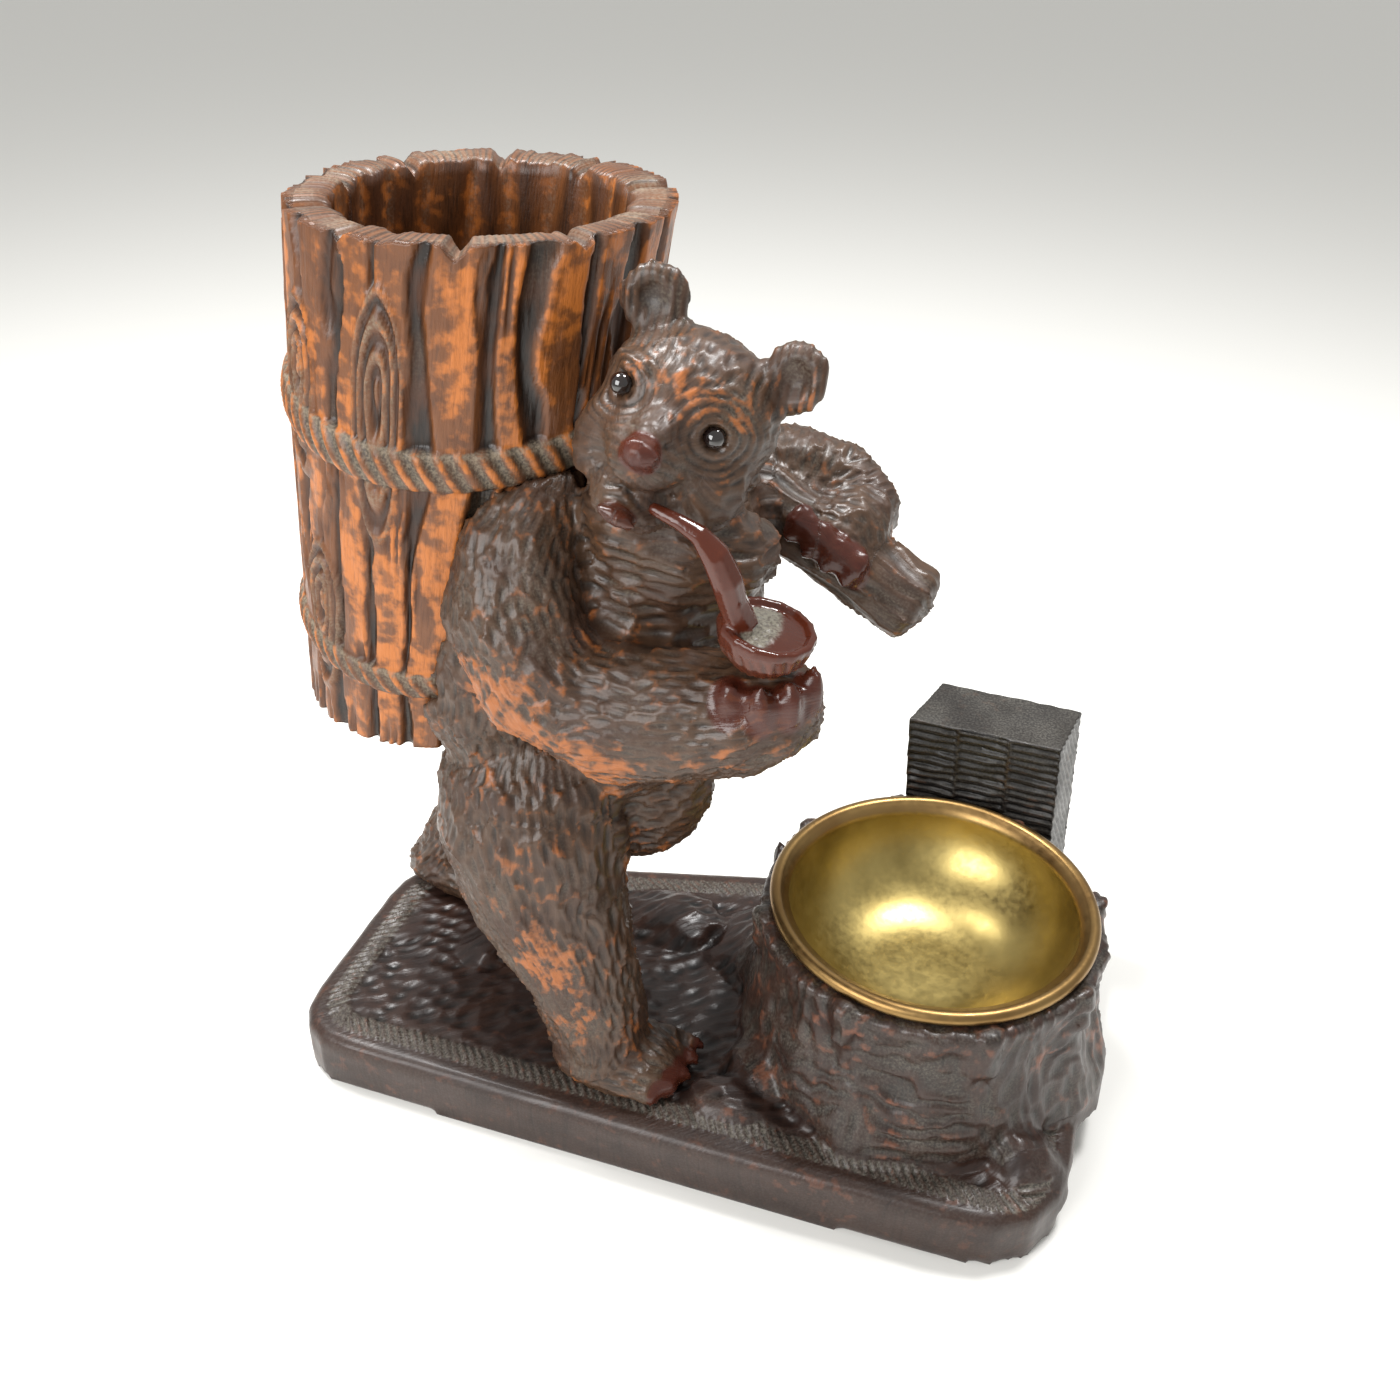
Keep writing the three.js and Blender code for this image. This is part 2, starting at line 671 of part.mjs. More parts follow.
function farArm() {
  const limb = fleshed({
    stations: [
      { at: [-12, 6, 138], half: [10, 10] },
      { at: [0, 11.5, 137], half: [9.4, 9.6] },
      { at: [11.5, 13, 134.8], half: [9, 9.2] },
      { at: [17.8, 8.5, 131.6], half: [8.2, 8.2] },
      { at: [16.4, 1, 131], half: [8, 8] },
      { at: [14.4, -5, 131.6], half: [7.4, 7.4] },
    ],
    side: [0, 0, 1],
    around: 10,
    along: 9,
    plump: 3.5,
    tuft: 0.35,
  });
  const claws = [0, 1, 2, 3].map((i) => {
    const at = [8.8 + 3.7 * i, -8 - 0.4 * Math.sin(i), 136 - 2.5 * i];
    return claw(at, [-1.9, -0.6, -4.6], [2, 2.6, 2.6], 2.8);
  });
  return [limb, ...claws];
}

// The cut branch that the far paw holds, carved in one with the bear.
function branch() {
  return fleshed({
    stations: [
      { at: [-8, 2, 138.5], half: [7, 7] },
      { at: [8, 1.5, 130.5], half: [7.2, 7.2] },
      { at: [22, 0.5, 123.4], half: [7.6, 7.6] },
      { at: [34.2, -0.5, 117.4], half: [8, 8] },
    ],
    side: [0, 1, 0],
    around: 10,
    along: 6,
    plump: 16,
    tuft: 0.3,
  });
}

function nearLeg(grow = 0) {
  const limb = fleshed({
    stations: [
      { at: [-36, -31, 98], half: [13, 16] },
      { at: [-36, -33, 82], half: [17, 21] },
      { at: [-33, -37, 65], half: [15, 19] },
      { at: [-26.5, -39, 50], half: [12, 14.5] },
      { at: [-21, -40, 35], half: [10, 11.4] },
      { at: [-19.5, -40, 22], half: [10, 11.5] },
      { at: [-19, -40, 12], half: [9, 10] },
    ],
    side: [0, 1, 0],
    around: 12,
    along: 9,
    plump: 4,
    tuft: 0.45,
    grow,
  });
  const foot = fleshed({
    stations: [
      { at: [-30, -40, 18], half: [8.5, 6] },
      { at: [-20, -40, 19.5], half: [10, 8.5] },
      { at: [-9, -40, 18.5], half: [10.2, 6.5] },
      { at: [0, -39.5, 16], half: [9, 4.2] },
    ],
    side: [0, 1, 0],
    around: 8,
    along: 6,
    tuft: 0.25,
    grow,
  });
  return [limb, foot, ...toes([-2.4, -39.5], 16.6, 2.4, grow)];
}

// Toes with their claws, in a fan at the front of a foot.
function toes(front, spread, wide, grow) {
  return [0, 1, 2, 3, 4].map((i) => {
    const off = (i - 2) / 2;
    const at = [front[0] - 2.4 * off * off + 2.4 * off, front[1] + (off * spread) / 2, 19];
    return claw(at, [4.4, off, -3.6], [-8, -off, 1.4], wide, { along: 3, grow });
  });
}

function farLeg(grow = 0) {
  const limb = fleshed({
    stations: [
      { at: [-38, 2, 88], half: [13, 14] },
      { at: [-44, 5, 68], half: [13, 15] },
      { at: [-56, 6, 50], half: [11, 12.5] },
      { at: [-68, 6, 36], half: [9.5, 10.5] },
      { at: [-77, 5.5, 25], half: [8.6, 8.6] },
      { at: [-80, 5, 17], half: [7.5, 7.5] },
    ],
    side: [0, 1, 0],
    around: 10,
    along: 8,
    plump: 4,
    tuft: 0.4,
    grow,
  });
  const foot = fleshed({
    stations: [
      { at: [-88, 4.6, 19], half: [7, 6.5] },
      { at: [-77, 4, 20], half: [8.5, 7.5] },
      { at: [-66, 3.4, 18.5], half: [9, 6] },
      { at: [-56, 3, 15.8], half: [8, 4] },
    ],
    side: [0, 1, 0],
    around: 8,
    along: 6,
    tuft: 0.25,
    grow,
  });
  return [limb, foot, ...toes([-59, 3], 16, 2.2, grow)];
}

function skull() {
  const cranium = egg({ at: [1.6, 0.2, -10.4], half: [15, 12.4, 13.4], around: 14, along: 9, frame: face });
  const neck = fleshed({
    stations: [
      { at: [2.5, 1, -15], half: [13, 12] },
      { at: [2, -8, -20], half: [14, 14] },
      { at: [0, -20, -24], half: [16, 16] },
    ],
    side: [1, 0, 0],
    around: 10,
    along: 5,
    frame: face,
    tuft: 0.3,
  });
  const cheeks = [[-6.8, 6.4], [9.4, 7.6]].map(([s, wide]) => egg({
    at: [s, -8.6, -5.6],
    half: [wide, 8.6, 7.4],
    around: 9,
    along: 6,
    frame: face,
  }));
  const muzzle = fleshed({
    stations: [
      { at: [0, -2.4, -6], half: [10, 7.2] },
      { at: [0.3, -5.4, 0], half: [8.2, 5.4] },
      { at: [0.5, -7.6, 5.2], half: [6.2, 4.6] },
      { at: [0.6, -8.4, 9.4], half: [4.4, 3.6] },
    ],
    side: [1, 0, 0],
    around: 10,
    along: 7,
    frame: face,
  });
  const jaw = fleshed({
    stations: [
      { at: [0.6, -12.8, -8], half: [10, 7.6] },
      { at: [1, -15, -1], half: [7.6, 5.4] },
      { at: [1.2, -16.2, 5], half: [5, 3.4] },
    ],
    side: [1, 0, 0],
    around: 9,
    along: 6,
    frame: face,
  });
  return [cranium, neck, ...cheeks, muzzle, jaw];
}

// Round ear with a hollow front.
function ear(s, u, f, lean) {
  const shell = egg({ at: [s, u, f], half: [5.9, 6, 2.8], around: 10, along: 6, frame: face, turn: [8, lean, 0] });
  const hollow = egg({ at: [s, u - 0.6, f + 3], half: [3.7, 4.1, 2.6], around: 7, along: 4, frame: face });
  return shell.subtract(hollow);
}

function faceDetails() {
  const brows = [-1, 1].map((s) => fleshed({
    stations: [
      { at: [s * 3, 2.4, 0.8], half: [1.6, 1.3] },
      { at: [s * 7.4, 3.6, -0.6], half: [2, 1.9] },
      { at: [s * 11.8, 2.6, -5], half: [1.6, 1.6] },
    ],
    side: [0, 1, 0],
    around: 6,
    along: 5,
    frame: face,
  }));
  const nose = egg({ at: [0.7, -5.4, 10.2], half: [3.5, 2.4, 2.4], around: 8, along: 5, frame: face });
  const bridge = fleshed({
    stations: [
      { at: [0, 1.2, 0.4], half: [3.8, 1.8] },
      { at: [0.4, -1.4, 4.6], half: [3.3, 1.7] },
      { at: [0.7, -4, 9.2], half: [2.9, 1.4] },
    ],
    side: [1, 0, 0],
    around: 6,
    along: 5,
    frame: face,
  });
  const lip = egg({ at: [1.5, -16.6, 6.6], half: [4.2, 1.5, 2.6], around: 7, along: 4, frame: face });
  return [...brows, nose, bridge, lip];
}

// Hollows of the face: nostrils, open mouth and the sockets of the glass eyes.
function faceHollows() {
  const pair = (middle, spread, hollow) => [-1, 1].map((side) => egg({
    ...hollow,
    at: [middle[0] + side * spread, middle[1], middle[2]],
    frame: face,
  }));
  const nostrils = pair([0.7, -6.2, 12.4], 1.7, { half: [0.9, 0.9, 1.6], around: 5, along: 4 });
  const mouth = egg({ at: [0.4, -13.2, 7.4], half: [3.8, 1.5, 5], around: 7, along: 5, frame: face });
  const rims = pair([0, 0, 2.6], head.eyeSpread, { half: [2.7, 2, 1.8], around: 7, along: 4 });
  const sockets = [-1, 1].map((s) => solid(eyeBall(s, GAP)));
  return [...nostrils, mouth, ...rims, ...sockets];
}

function eyeBall(s, grow = 0) {
  const centre = face.place([s * head.eyeSpread, 0, 0.2]);
  return new THREE.SphereGeometry(head.eyeRadius + grow, 8, 6).translate(centre.x, centre.y, centre.z);
}

function bearBody() {
  const flesh = joined([
    ...torso(), ...nearArm(), ...farArm(), branch(), ...nearLeg(), ...farLeg(),
    ...skull(), ear(-11.2, 12.2, -9.4, 12), ear(13.8, 12.4, -10, -12), ...faceDetails(),
  ]);
  const below = solid(new THREE.BoxGeometry(300, 300, 60).translate(0, 0, base.thick + GAP - 30));
  return faceHollows()
    .reduce((body, hollow) => body.subtract(hollow), flesh)
    .subtract(trunkRoom())
    .subtract(pipeSolids(GAP))
    .subtract(below);
}

const smokersSet = new THREE.Group();
smokersSet.add(
  mesh('base_and_stump', baseAndStump(), baseWood),
  mesh('bear', bearBody(), darkWood),
  mesh('trunk_jar', trunkBody(), barkWood),
  mesh('match_block', blockBody(), blockWood),
  mesh('pipe', pipeSolids(), pipeWood),
  mesh('brass_bowl', solid(bowlProfile(0, false)), brass),
  mesh('eye_right', solid(eyeBall(-1)), glass),
  mesh('eye_left', solid(eyeBall(1)), glass),
);

export default smokersSet;
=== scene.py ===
"""Carved bear smoker's set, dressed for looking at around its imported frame.

A bear strides along a plank, smokes a pipe and carries a hollow tree trunk, the tobacco jar. Before it stand a
stump with a brass bowl and a match block. The frame gives the solids. Here the carving, the old stain and wax,
the glass eyes and the brass are added. Lengths are millimetres until a mesh is written, in metres.
"""

import logging
import math
from dataclasses import dataclass, field
from typing import Callable, Optional, Sequence

import bmesh
import bpy
import numpy as np
from mathutils import Matrix, Vector


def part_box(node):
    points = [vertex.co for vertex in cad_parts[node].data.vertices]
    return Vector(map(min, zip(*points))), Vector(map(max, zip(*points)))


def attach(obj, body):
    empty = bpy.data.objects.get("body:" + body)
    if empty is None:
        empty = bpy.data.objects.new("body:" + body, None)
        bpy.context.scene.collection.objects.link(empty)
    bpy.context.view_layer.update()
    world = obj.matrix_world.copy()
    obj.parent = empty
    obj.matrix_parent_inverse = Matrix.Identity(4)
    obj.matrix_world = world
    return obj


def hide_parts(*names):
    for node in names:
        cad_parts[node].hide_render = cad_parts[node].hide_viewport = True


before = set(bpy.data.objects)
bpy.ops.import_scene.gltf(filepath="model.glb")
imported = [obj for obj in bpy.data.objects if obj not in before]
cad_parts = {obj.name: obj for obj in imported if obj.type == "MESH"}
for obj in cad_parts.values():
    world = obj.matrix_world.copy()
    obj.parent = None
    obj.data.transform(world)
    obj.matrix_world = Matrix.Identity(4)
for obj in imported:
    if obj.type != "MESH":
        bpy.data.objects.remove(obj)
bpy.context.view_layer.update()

logging.basicConfig(level=logging.INFO, format="%(message)s")
log = logging.getLogger("smokers_set")

MM = 0.001
Triple = tuple[float, float, float]


# Colour, nodes and repeatable noise


def tone(code: str) -> tuple[float, float, float, float]:
    """Turns an sRGB hex code to a linear colour.

    Args:
        code: Six hex digits after a hash.

    Returns:
        Red, green, blue and an alpha of one.
    """
    parts = [int(code[i:i + 2], 16) / 255 for i in (1, 3, 5)]
    linear = [c / 12.92 if c <= 0.04045 else ((c + 0.055) / 1.055) ** 2.4 for c in parts]
    return (linear[0], linear[1], linear[2], 1.0)


def add_node(tree: bpy.types.NodeTree, kind: str, inputs: Optional[dict] = None, **settings) -> bpy.types.Node:
    """Adds one shader node with its settings and links.

    Args:
        tree: Node tree of the material or the world.
        kind: Blender's name of the node type.
        inputs: Socket name or index to a plain value or to the output socket that feeds it.
        **settings: Properties of the node.

    Returns:
        The new node.
    """
    node = tree.nodes.new(kind)
    for name, value in settings.items():
        setattr(node, name, value)
    for key, value in (inputs or {}).items():
        if isinstance(value, bpy.types.NodeSocket):
            tree.links.new(value, node.inputs[key])
        else:
            node.inputs[key].default_value = value
    return node


def lattice(cells: np.ndarray, seed: int) -> np.ndarray:
    """Gives each row of whole numbers its own repeatable number from 0 to 1.

    Args:
        cells: Whole numbers, one row for each cell.
        seed: Which set of numbers to draw from.

    Returns:
        One number for each row.
    """
    primes = (73856093, 19349663, 83492791)
    mixed = np.full(cells.shape[:-1], (seed * 2654435761) % 4294967296, np.uint32)
    for k in range(cells.shape[-1]):
        mixed ^= cells[..., k].astype(np.int64).astype(np.uint32) * np.uint32(primes[k])
        mixed *= np.uint32(1274126177)
        mixed ^= mixed >> np.uint32(15)
    mixed *= np.uint32(2246822519)
    mixed ^= mixed >> np.uint32(13)
    return mixed.astype(np.float64) / 4294967295.0


def noise(points: np.ndarray, size: float, seed: int = 1) -> np.ndarray:
    """Smooth random field from -1 to 1.

    Args:
        points: Places in millimetres, one row each.
        size: Distance between its swells.
        seed: Which field.

    Returns:
        The field at each place.
    """
    scaled = points / size
    low = np.floor(scaled).astype(np.int64)
    part = scaled - low
    part = part * part * (3 - 2 * part)
    total = np.zeros(len(points))
    for corner in range(2 ** points.shape[1]):
        step = np.array([(corner >> k) & 1 for k in range(points.shape[1])])
        weight = np.prod(np.where(step, part, 1 - part), axis=1)
        total += weight * lattice(low + step, seed)
    return 2 * total - 1


def rising(low: float, high: float, value: np.ndarray) -> np.ndarray:
    """Smooth step from 0 at low to 1 at high."""
    part = np.clip((value - low) / (high - low), 0, 1)
    return part * part * (3 - 2 * part)


@dataclass
class Cuts:
    """Gouge cuts that lie side by side like shingles, as each place on a surface meets them.

    Attributes:
        hollow: 0 at the bottom of a cut and about 1 at its edge.
        ridge: 1 on the crest between two cuts and 0 away from it.
        ahead: Place along the cut, from -0.5 at its start to 0.5 at its end.
        chance: A number from 0 to 1 that is the same all over one cut.
    """

    hollow: np.ndarray
    ridge: np.ndarray
    ahead: np.ndarray
    chance: np.ndarray


def gouge(along: np.ndarray, across: np.ndarray, seed: int, loose: float = 0.7) -> Cuts:
    """Lays cuts over a surface, one to each unit of both measures.

    Args:
        along: Place along the cuts, in cut lengths.
        across: Place across the cuts, in cut widths.
        seed: Which laying of the cuts.
        loose: How far the cuts stray from a regular brick pattern.

    Returns:
        What each place meets.
    """
    base = np.stack([np.floor(along), np.floor(across)], -1).astype(np.int64)
    first = np.full(len(along), 9.0)
    second = np.full(len(along), 9.0)
    ahead = np.zeros(len(along))
    chance = np.zeros(len(along))
    for i in (-2, -1, 0, 1):
        for j in (-1, 0, 1):
            cell = base + np.array([i, j])
            shift = 0.5 * (cell[:, 1] % 2)
            mid_along = cell[:, 0] + 0.5 + shift + loose * (lattice(cell, seed) - 0.5)
            mid_across = cell[:, 1] + 0.5 + 0.8 * loose * (lattice(cell, seed + 1) - 0.5)
            far = np.hypot(along - mid_along, across - mid_across)
            nearer = far < first
            second = np.where(nearer, first, np.minimum(second, far))
            ahead = np.where(nearer, along - mid_along, ahead)
            chance = np.where(nearer, lattice(cell, seed + 2), chance)
            first = np.where(nearer, far, first)
    return Cuts(np.clip(first * 1.5, 0, 1), 1 - np.clip((second - first) * 3.2, 0, 1), ahead, chance)


# Meshes


class Carving:
    """A mesh under the knife: its vertices in millimetres, with what the finish reads from them."""

    def __init__(self, piece: bpy.types.Object) -> None:
        """Takes hold of a piece's mesh."""
        self.piece = piece
        mesh = piece.data
        self.count = len(mesh.vertices)
        pairs = np.zeros(len(mesh.edges) * 2, np.int32)
        mesh.edges.foreach_get("vertices", pairs)
        self.pairs = pairs.reshape(-1, 2)
        ends = self.pairs.ravel()
        self.degree = np.maximum(np.bincount(ends, minlength=self.count), 1)
        self.read()

    def read(self) -> None:
        """Reads places and normals from the mesh."""
        flat = np.zeros(self.count * 3, np.float32)
        self.piece.data.vertices.foreach_get("co", flat)
        self.at = flat.reshape(-1, 3).astype(np.float64) / MM
        self.piece.data.vertices.foreach_get("normal", flat)
        self.normal = flat.reshape(-1, 3).astype(np.float64)

    def write(self) -> None:
        """Writes the places to the mesh and reads the new normals."""
        self.piece.data.vertices.foreach_set("co", (self.at * MM).astype(np.float32).ravel())
        self.piece.data.update()
        self.read()

    def around(self, values: np.ndarray) -> np.ndarray:
        """Mean of each vertex's neighbours."""
        a, b = self.pairs[:, 0], self.pairs[:, 1]
        columns = values if values.ndim > 1 else values[:, None]
        sums = [
            np.bincount(a, columns[b, k], self.count) + np.bincount(b, columns[a, k], self.count)
            for k in range(columns.shape[1])
        ]
        mean = np.stack(sums, -1) / self.degree[:, None]
        return mean if values.ndim > 1 else mean[:, 0]

    def soften(self, times: int, amount: Optional[np.ndarray] = None) -> None:
        """Smooths the facets away without shrinking the piece.

        Args:
            times: Number of passes.
            amount: How much each vertex takes part, from 0 to 1.
        """
        part = np.ones(self.count) if amount is None else amount
        for _ in range(times):
            for pull in (0.5, -0.52):
                self.at = self.at + pull * part[:, None] * (self.around(self.at) - self.at)

    def push(self, rise: np.ndarray) -> None:
        """Moves each vertex out along its normal."""
        self.at = self.at + self.normal * rise[:, None]
        self.write()

    def mark(self, name: str, values: np.ndarray) -> None:
        """Keeps one number or one triple for each vertex, for the finish to read."""
        kind = "FLOAT" if values.ndim == 1 else "FLOAT_VECTOR"
        layer = self.piece.data.attributes.get(name) or self.piece.data.attributes.new(name, kind, "POINT")
        layer.data.foreach_set("value" if values.ndim == 1 else "vector", values.astype(np.float32).ravel())


def place(name: str, mesh: bpy.types.Mesh) -> bpy.types.Object:
    """Puts a mesh in the scene as an object at the origin."""
    piece = bpy.data.objects.new(name, mesh)
    bpy.context.scene.collection.objects.link(piece)
    return piece


def merged_copy(node: str, name: str) -> bpy.types.Object:
    """Copies a node of the frame with its loose triangles merged to one skin."""
    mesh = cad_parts[node].data.copy()
    mesh.materials.clear()
    body = bmesh.new()
    body.from_mesh(mesh)
    bmesh.ops.remove_doubles(body, verts=body.verts, dist=0.002 * MM)
    body.to_mesh(mesh)
    body.free()
    return place(name, mesh)


def remeshed(piece: bpy.types.Object, size: float) -> None:
    """Gives a piece an even skin of small quads.

    Args:
        piece: The piece, whose mesh is replaced.
        size: Side of a quad in millimetres.
    """
    even = piece.modifiers.new("even skin", "REMESH")
    even.mode = "VOXEL"
    even.voxel_size = size * MM
    graph = bpy.context.evaluated_depsgraph_get()
    mesh = bpy.data.meshes.new_from_object(piece.evaluated_get(graph))
    piece.modifiers.remove(even)
    old = piece.data
    piece.data = mesh
    bpy.data.meshes.remove(old)
    mesh.name = piece.name


def refine(piece: bpy.types.Object, wanted: Callable[[np.ndarray, np.ndarray], np.ndarray]) -> None:
    """Halves the quads where the carving needs it.

    Args:
        piece: The piece, whose mesh is cut finer.
        wanted: Says for face centres in millimetres and face normals which faces to cut.
    """
    mesh = piece.data
    centre = np.zeros(len(mesh.polygons) * 3, np.float32)
    facing = np.zeros(len(mesh.polygons) * 3, np.float32)
    mesh.polygons.foreach_get("center", centre)
    mesh.polygons.foreach_get("normal", facing)
    chosen = wanted(centre.reshape(-1, 3) / MM, facing.reshape(-1, 3))
    body = bmesh.new()
    body.from_mesh(mesh)
    body.faces.ensure_lookup_table()
    edges = {edge for index in np.flatnonzero(chosen) for edge in body.faces[index].edges}
    bmesh.ops.subdivide_edges(body, edges=list(edges), cuts=1, use_grid_fill=True)
    bmesh.ops.triangulate(body, faces=[f for f in body.faces if len(f.verts) > 4])
    body.to_mesh(mesh)
    body.free()


def shade_smooth(piece: bpy.types.Object) -> None:
    """Makes the faces of a piece smooth."""
    piece.data.polygons.foreach_set("use_smooth", [True] * len(piece.data.polygons))
    piece.data.update()


def dress(piece: bpy.types.Object, material: bpy.types.Material, slot: str, *nodes: str) -> None:
    """Gives a finished piece its material and its place in the frame.

    Args:
        piece: The piece.
        material: Its finish.
        slot: Name of a material slot; not used.
        *nodes: The frame's nodes that it stands for.
    """
    piece.data.materials.clear()
    piece.data.materials.append(material)
    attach(piece, "root")
    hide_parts(*nodes)
    faces = sum(len(face.vertices) - 2 for face in piece.data.polygons)
    log.info("%s: %d vertices, %d triangles", piece.name, len(piece.data.vertices), faces)


# Finishes


@dataclass(frozen=True)
class CarvedWood:
    """Limewood cut with gouges, stained, waxed and handled for a century: glints on the crests, grey in the cuts.

    Attributes:
        name: Name of the finish.
        deep: Stain at the bottom of the cuts, and painted shade where a piece lowers its relief mark.
        stain: Stain on the crests.
        warm: Second tone of the stain, in blotches.
        worn: Wood that shows where handling has thinned the stain.
        dust: Old wax and dust.
        polish: Smooth, glossy places such as nose and claws.
        rough: Roughness of the waxed surface.
        grain: Width in millimetres of the fine lines along the cuts.
        lines: Depth in millimetres of those lines.
    """

    name: str
    deep: str
    stain: str
    warm: str
    worn: str
    dust: str
    polish: str
    rough: float = 0.42
    grain: float = 0.55
    lines: float = 0.09

    def material(self) -> bpy.types.Material:
        """Builds the shader.

        Returns:
            The finished material.
        """
        made = bpy.data.materials.new(self.name)
        made.use_nodes = True
        tree = made.node_tree
        tree.nodes.clear()

        def read(name: str) -> bpy.types.NodeSocket:
            """Output of one of the carving's marks."""
            return add_node(tree, "ShaderNodeAttribute", attribute_name=name).outputs["Fac"]

        def blend(factor, one, other) -> bpy.types.NodeSocket:
            """Mix of two colours."""
            node = add_node(tree, "ShaderNodeMix", {0: factor, 6: one, 7: other}, data_type="RGBA")
            return node.outputs[2]

        def span(value, low: float, high: float, start: float = 0.0, stop: float = 1.0) -> bpy.types.NodeSocket:
            """Value stretched from one range to another."""
            inputs = {"Value": value, 1: low, 2: high, 3: start, 4: stop}
            return add_node(tree, "ShaderNodeMapRange", inputs, interpolation_type="SMOOTHSTEP").outputs[0]

        def sum_of(one, other, operation: str = "ADD") -> bpy.types.NodeSocket:
            """Two numbers taken together."""
            return add_node(tree, "ShaderNodeMath", {0: one, 1: other}, operation=operation).outputs[0]

        place_at = add_node(tree, "ShaderNodeTexCoord").outputs["Object"]
        flow = add_node(tree, "ShaderNodeAttribute", attribute_name="flow").outputs["Vector"]
        lines_at = add_node(tree, "ShaderNodeMapping", {0: flow, 3: (0.16, 1.0, 1.0)}).outputs[0]
        blotch = add_node(tree, "ShaderNodeTexNoise", {0: place_at, "Scale": 1 / (9 * MM), "Detail": 4.0}).outputs[0]
        patch = add_node(tree, "ShaderNodeTexNoise", {0: place_at, "Scale": 1 / (2.6 * MM), "Detail": 5.0}).outputs[0]
        speck = add_node(tree, "ShaderNodeTexNoise", {0: place_at, "Scale": 1 / (0.5 * MM), "Detail": 3.0}).outputs[0]
        fine = add_node(
            tree, "ShaderNodeTexNoise", {0: lines_at, "Scale": 1 / (self.grain * MM), "Detail": 3.0},
        ).outputs[0]
        relief, wear, dust, polish = (read(name) for name in ("relief", "wear", "dust", "polish"))

        # Low relief gives the deep tone: stain in the cuts, and painted shade where a piece has lowered the relief
        # mark.
        crest = span(sum_of(relief, sum_of(fine, 0.35, "MULTIPLY")), 0.2, 0.85)
        colour = blend(crest, tone(self.deep), tone(self.stain))
        colour = blend(span(blotch, 0.42, 0.68, 0.0, 0.7), colour, tone(self.warm))
        worn_here = sum_of(wear, sum_of(span(patch, 0.3, 0.7, -0.28, 0.28), span(relief, 0.1, 0.8, -0.25, 0.12)))
        colour = blend(span(worn_here, 0.3, 0.85), colour, tone(self.worn))
        dusty = sum_of(dust, span(speck, 0.35, 0.7, 0.45, 1.0), "MULTIPLY")
        colour = blend(span(dusty, 0.05, 0.9, 0.0, 0.85), colour, tone(self.dust))
        colour = blend(span(fine, 0.2, 0.52, 0.4, 0.0), colour, tone(self.deep))
        colour = blend(span(polish, 0.2, 0.9, 0.0, 0.85), colour, tone(self.polish))
        rough = span(dusty, 0.1, 0.8, self.rough, 0.78)
        rough = sum_of(rough, sum_of(span(blotch, 0.3, 0.7, -0.07, 0.09), span(polish, 0.2, 0.9, 0.0, -0.2)))
        height = sum_of(sum_of(fine, 1.0, "MULTIPLY"), sum_of(speck, 0.35, "MULTIPLY"))
        bump = add_node(tree, "ShaderNodeBump", {"Height": height, "Distance": self.lines * MM, "Strength": 1.0})
        shader = add_node(tree, "ShaderNodeBsdfPrincipled", {
            "Base Color": colour,
            "Roughness": rough,
            "Normal": bump.outputs[0],
            "IOR": 1.5,
            "Specular IOR Level": 0.4,
            "Coat Weight": 0.12,
            "Coat Roughness": 0.2,
        })
        add_node(tree, "ShaderNodeOutputMaterial", {"Surface": shader.outputs[0]})
        return made


@dataclass(frozen=True)
class SatinBrass:
    """Spun brass, rubbed satin and tarnished brown in clouds, so its lights are broad and its rim is darker."""

    name: str = "spun satin brass"
    bright: str = "#b8a468"
    tarnish: str = "#7a6a3c"
    rim: str = "#7a4f34"

    def material(self, rim_height: float) -> bpy.types.Material:
        """Builds the shader.

        Args:
            rim_height: Height in millimetres from which the rim's tone begins.

        Returns:
            The finished material.
        """
        made = bpy.data.materials.new(self.name)
        made.use_nodes = True
        tree = made.node_tree
        tree.nodes.clear()
        at = add_node(tree, "ShaderNodeTexCoord").outputs["Object"]
        height = add_node(tree, "ShaderNodeSeparateXYZ", {0: at}).outputs[2]
        cloud = add_node(tree, "ShaderNodeTexNoise", {0: at, "Scale": 1 / (16 * MM), "Detail": 5.0}).outputs[0]
        fine = add_node(tree, "ShaderNodeTexNoise", {0: at, "Scale": 1 / (1.6 * MM), "Detail": 4.0}).outputs[0]
        stain = add_node(tree, "ShaderNodeMapRange", {"Value": cloud, 1: 0.4, 2: 0.72, 3: 0.0, 4: 0.75}).outputs[0]
        edge_in = {"Value": height, 1: (rim_height - 0.6) * MM, 2: (rim_height + 1.2) * MM, 3: 0.0, 4: 0.6}
        edge = add_node(tree, "ShaderNodeMapRange", edge_in).outputs[0]
        colour = add_node(tree, "ShaderNodeMix", {0: stain, 6: tone(self.bright), 7: tone(self.tarnish)},
                          data_type="RGBA").outputs[2]
        colour = add_node(tree, "ShaderNodeMix", {0: edge, 6: colour, 7: tone(self.rim)}, data_type="RGBA").outputs[2]
        rough = add_node(tree, "ShaderNodeMapRange", {"Value": fine, 1: 0.3, 2: 0.7, 3: 0.3, 4: 0.42}).outputs[0]
        bump = add_node(tree, "ShaderNodeBump", {"Height": fine, "Distance": 0.02 * MM, "Strength": 1.0})
        shader = add_node(tree, "ShaderNodeBsdfPrincipled", {
            "Base Color": colour, "Roughness": rough, "Metallic": 1.0, "Normal": bump.outputs[0],
        })
        add_node(tree, "ShaderNodeOutputMaterial", {"Surface": shader.outputs[0]})
        return made


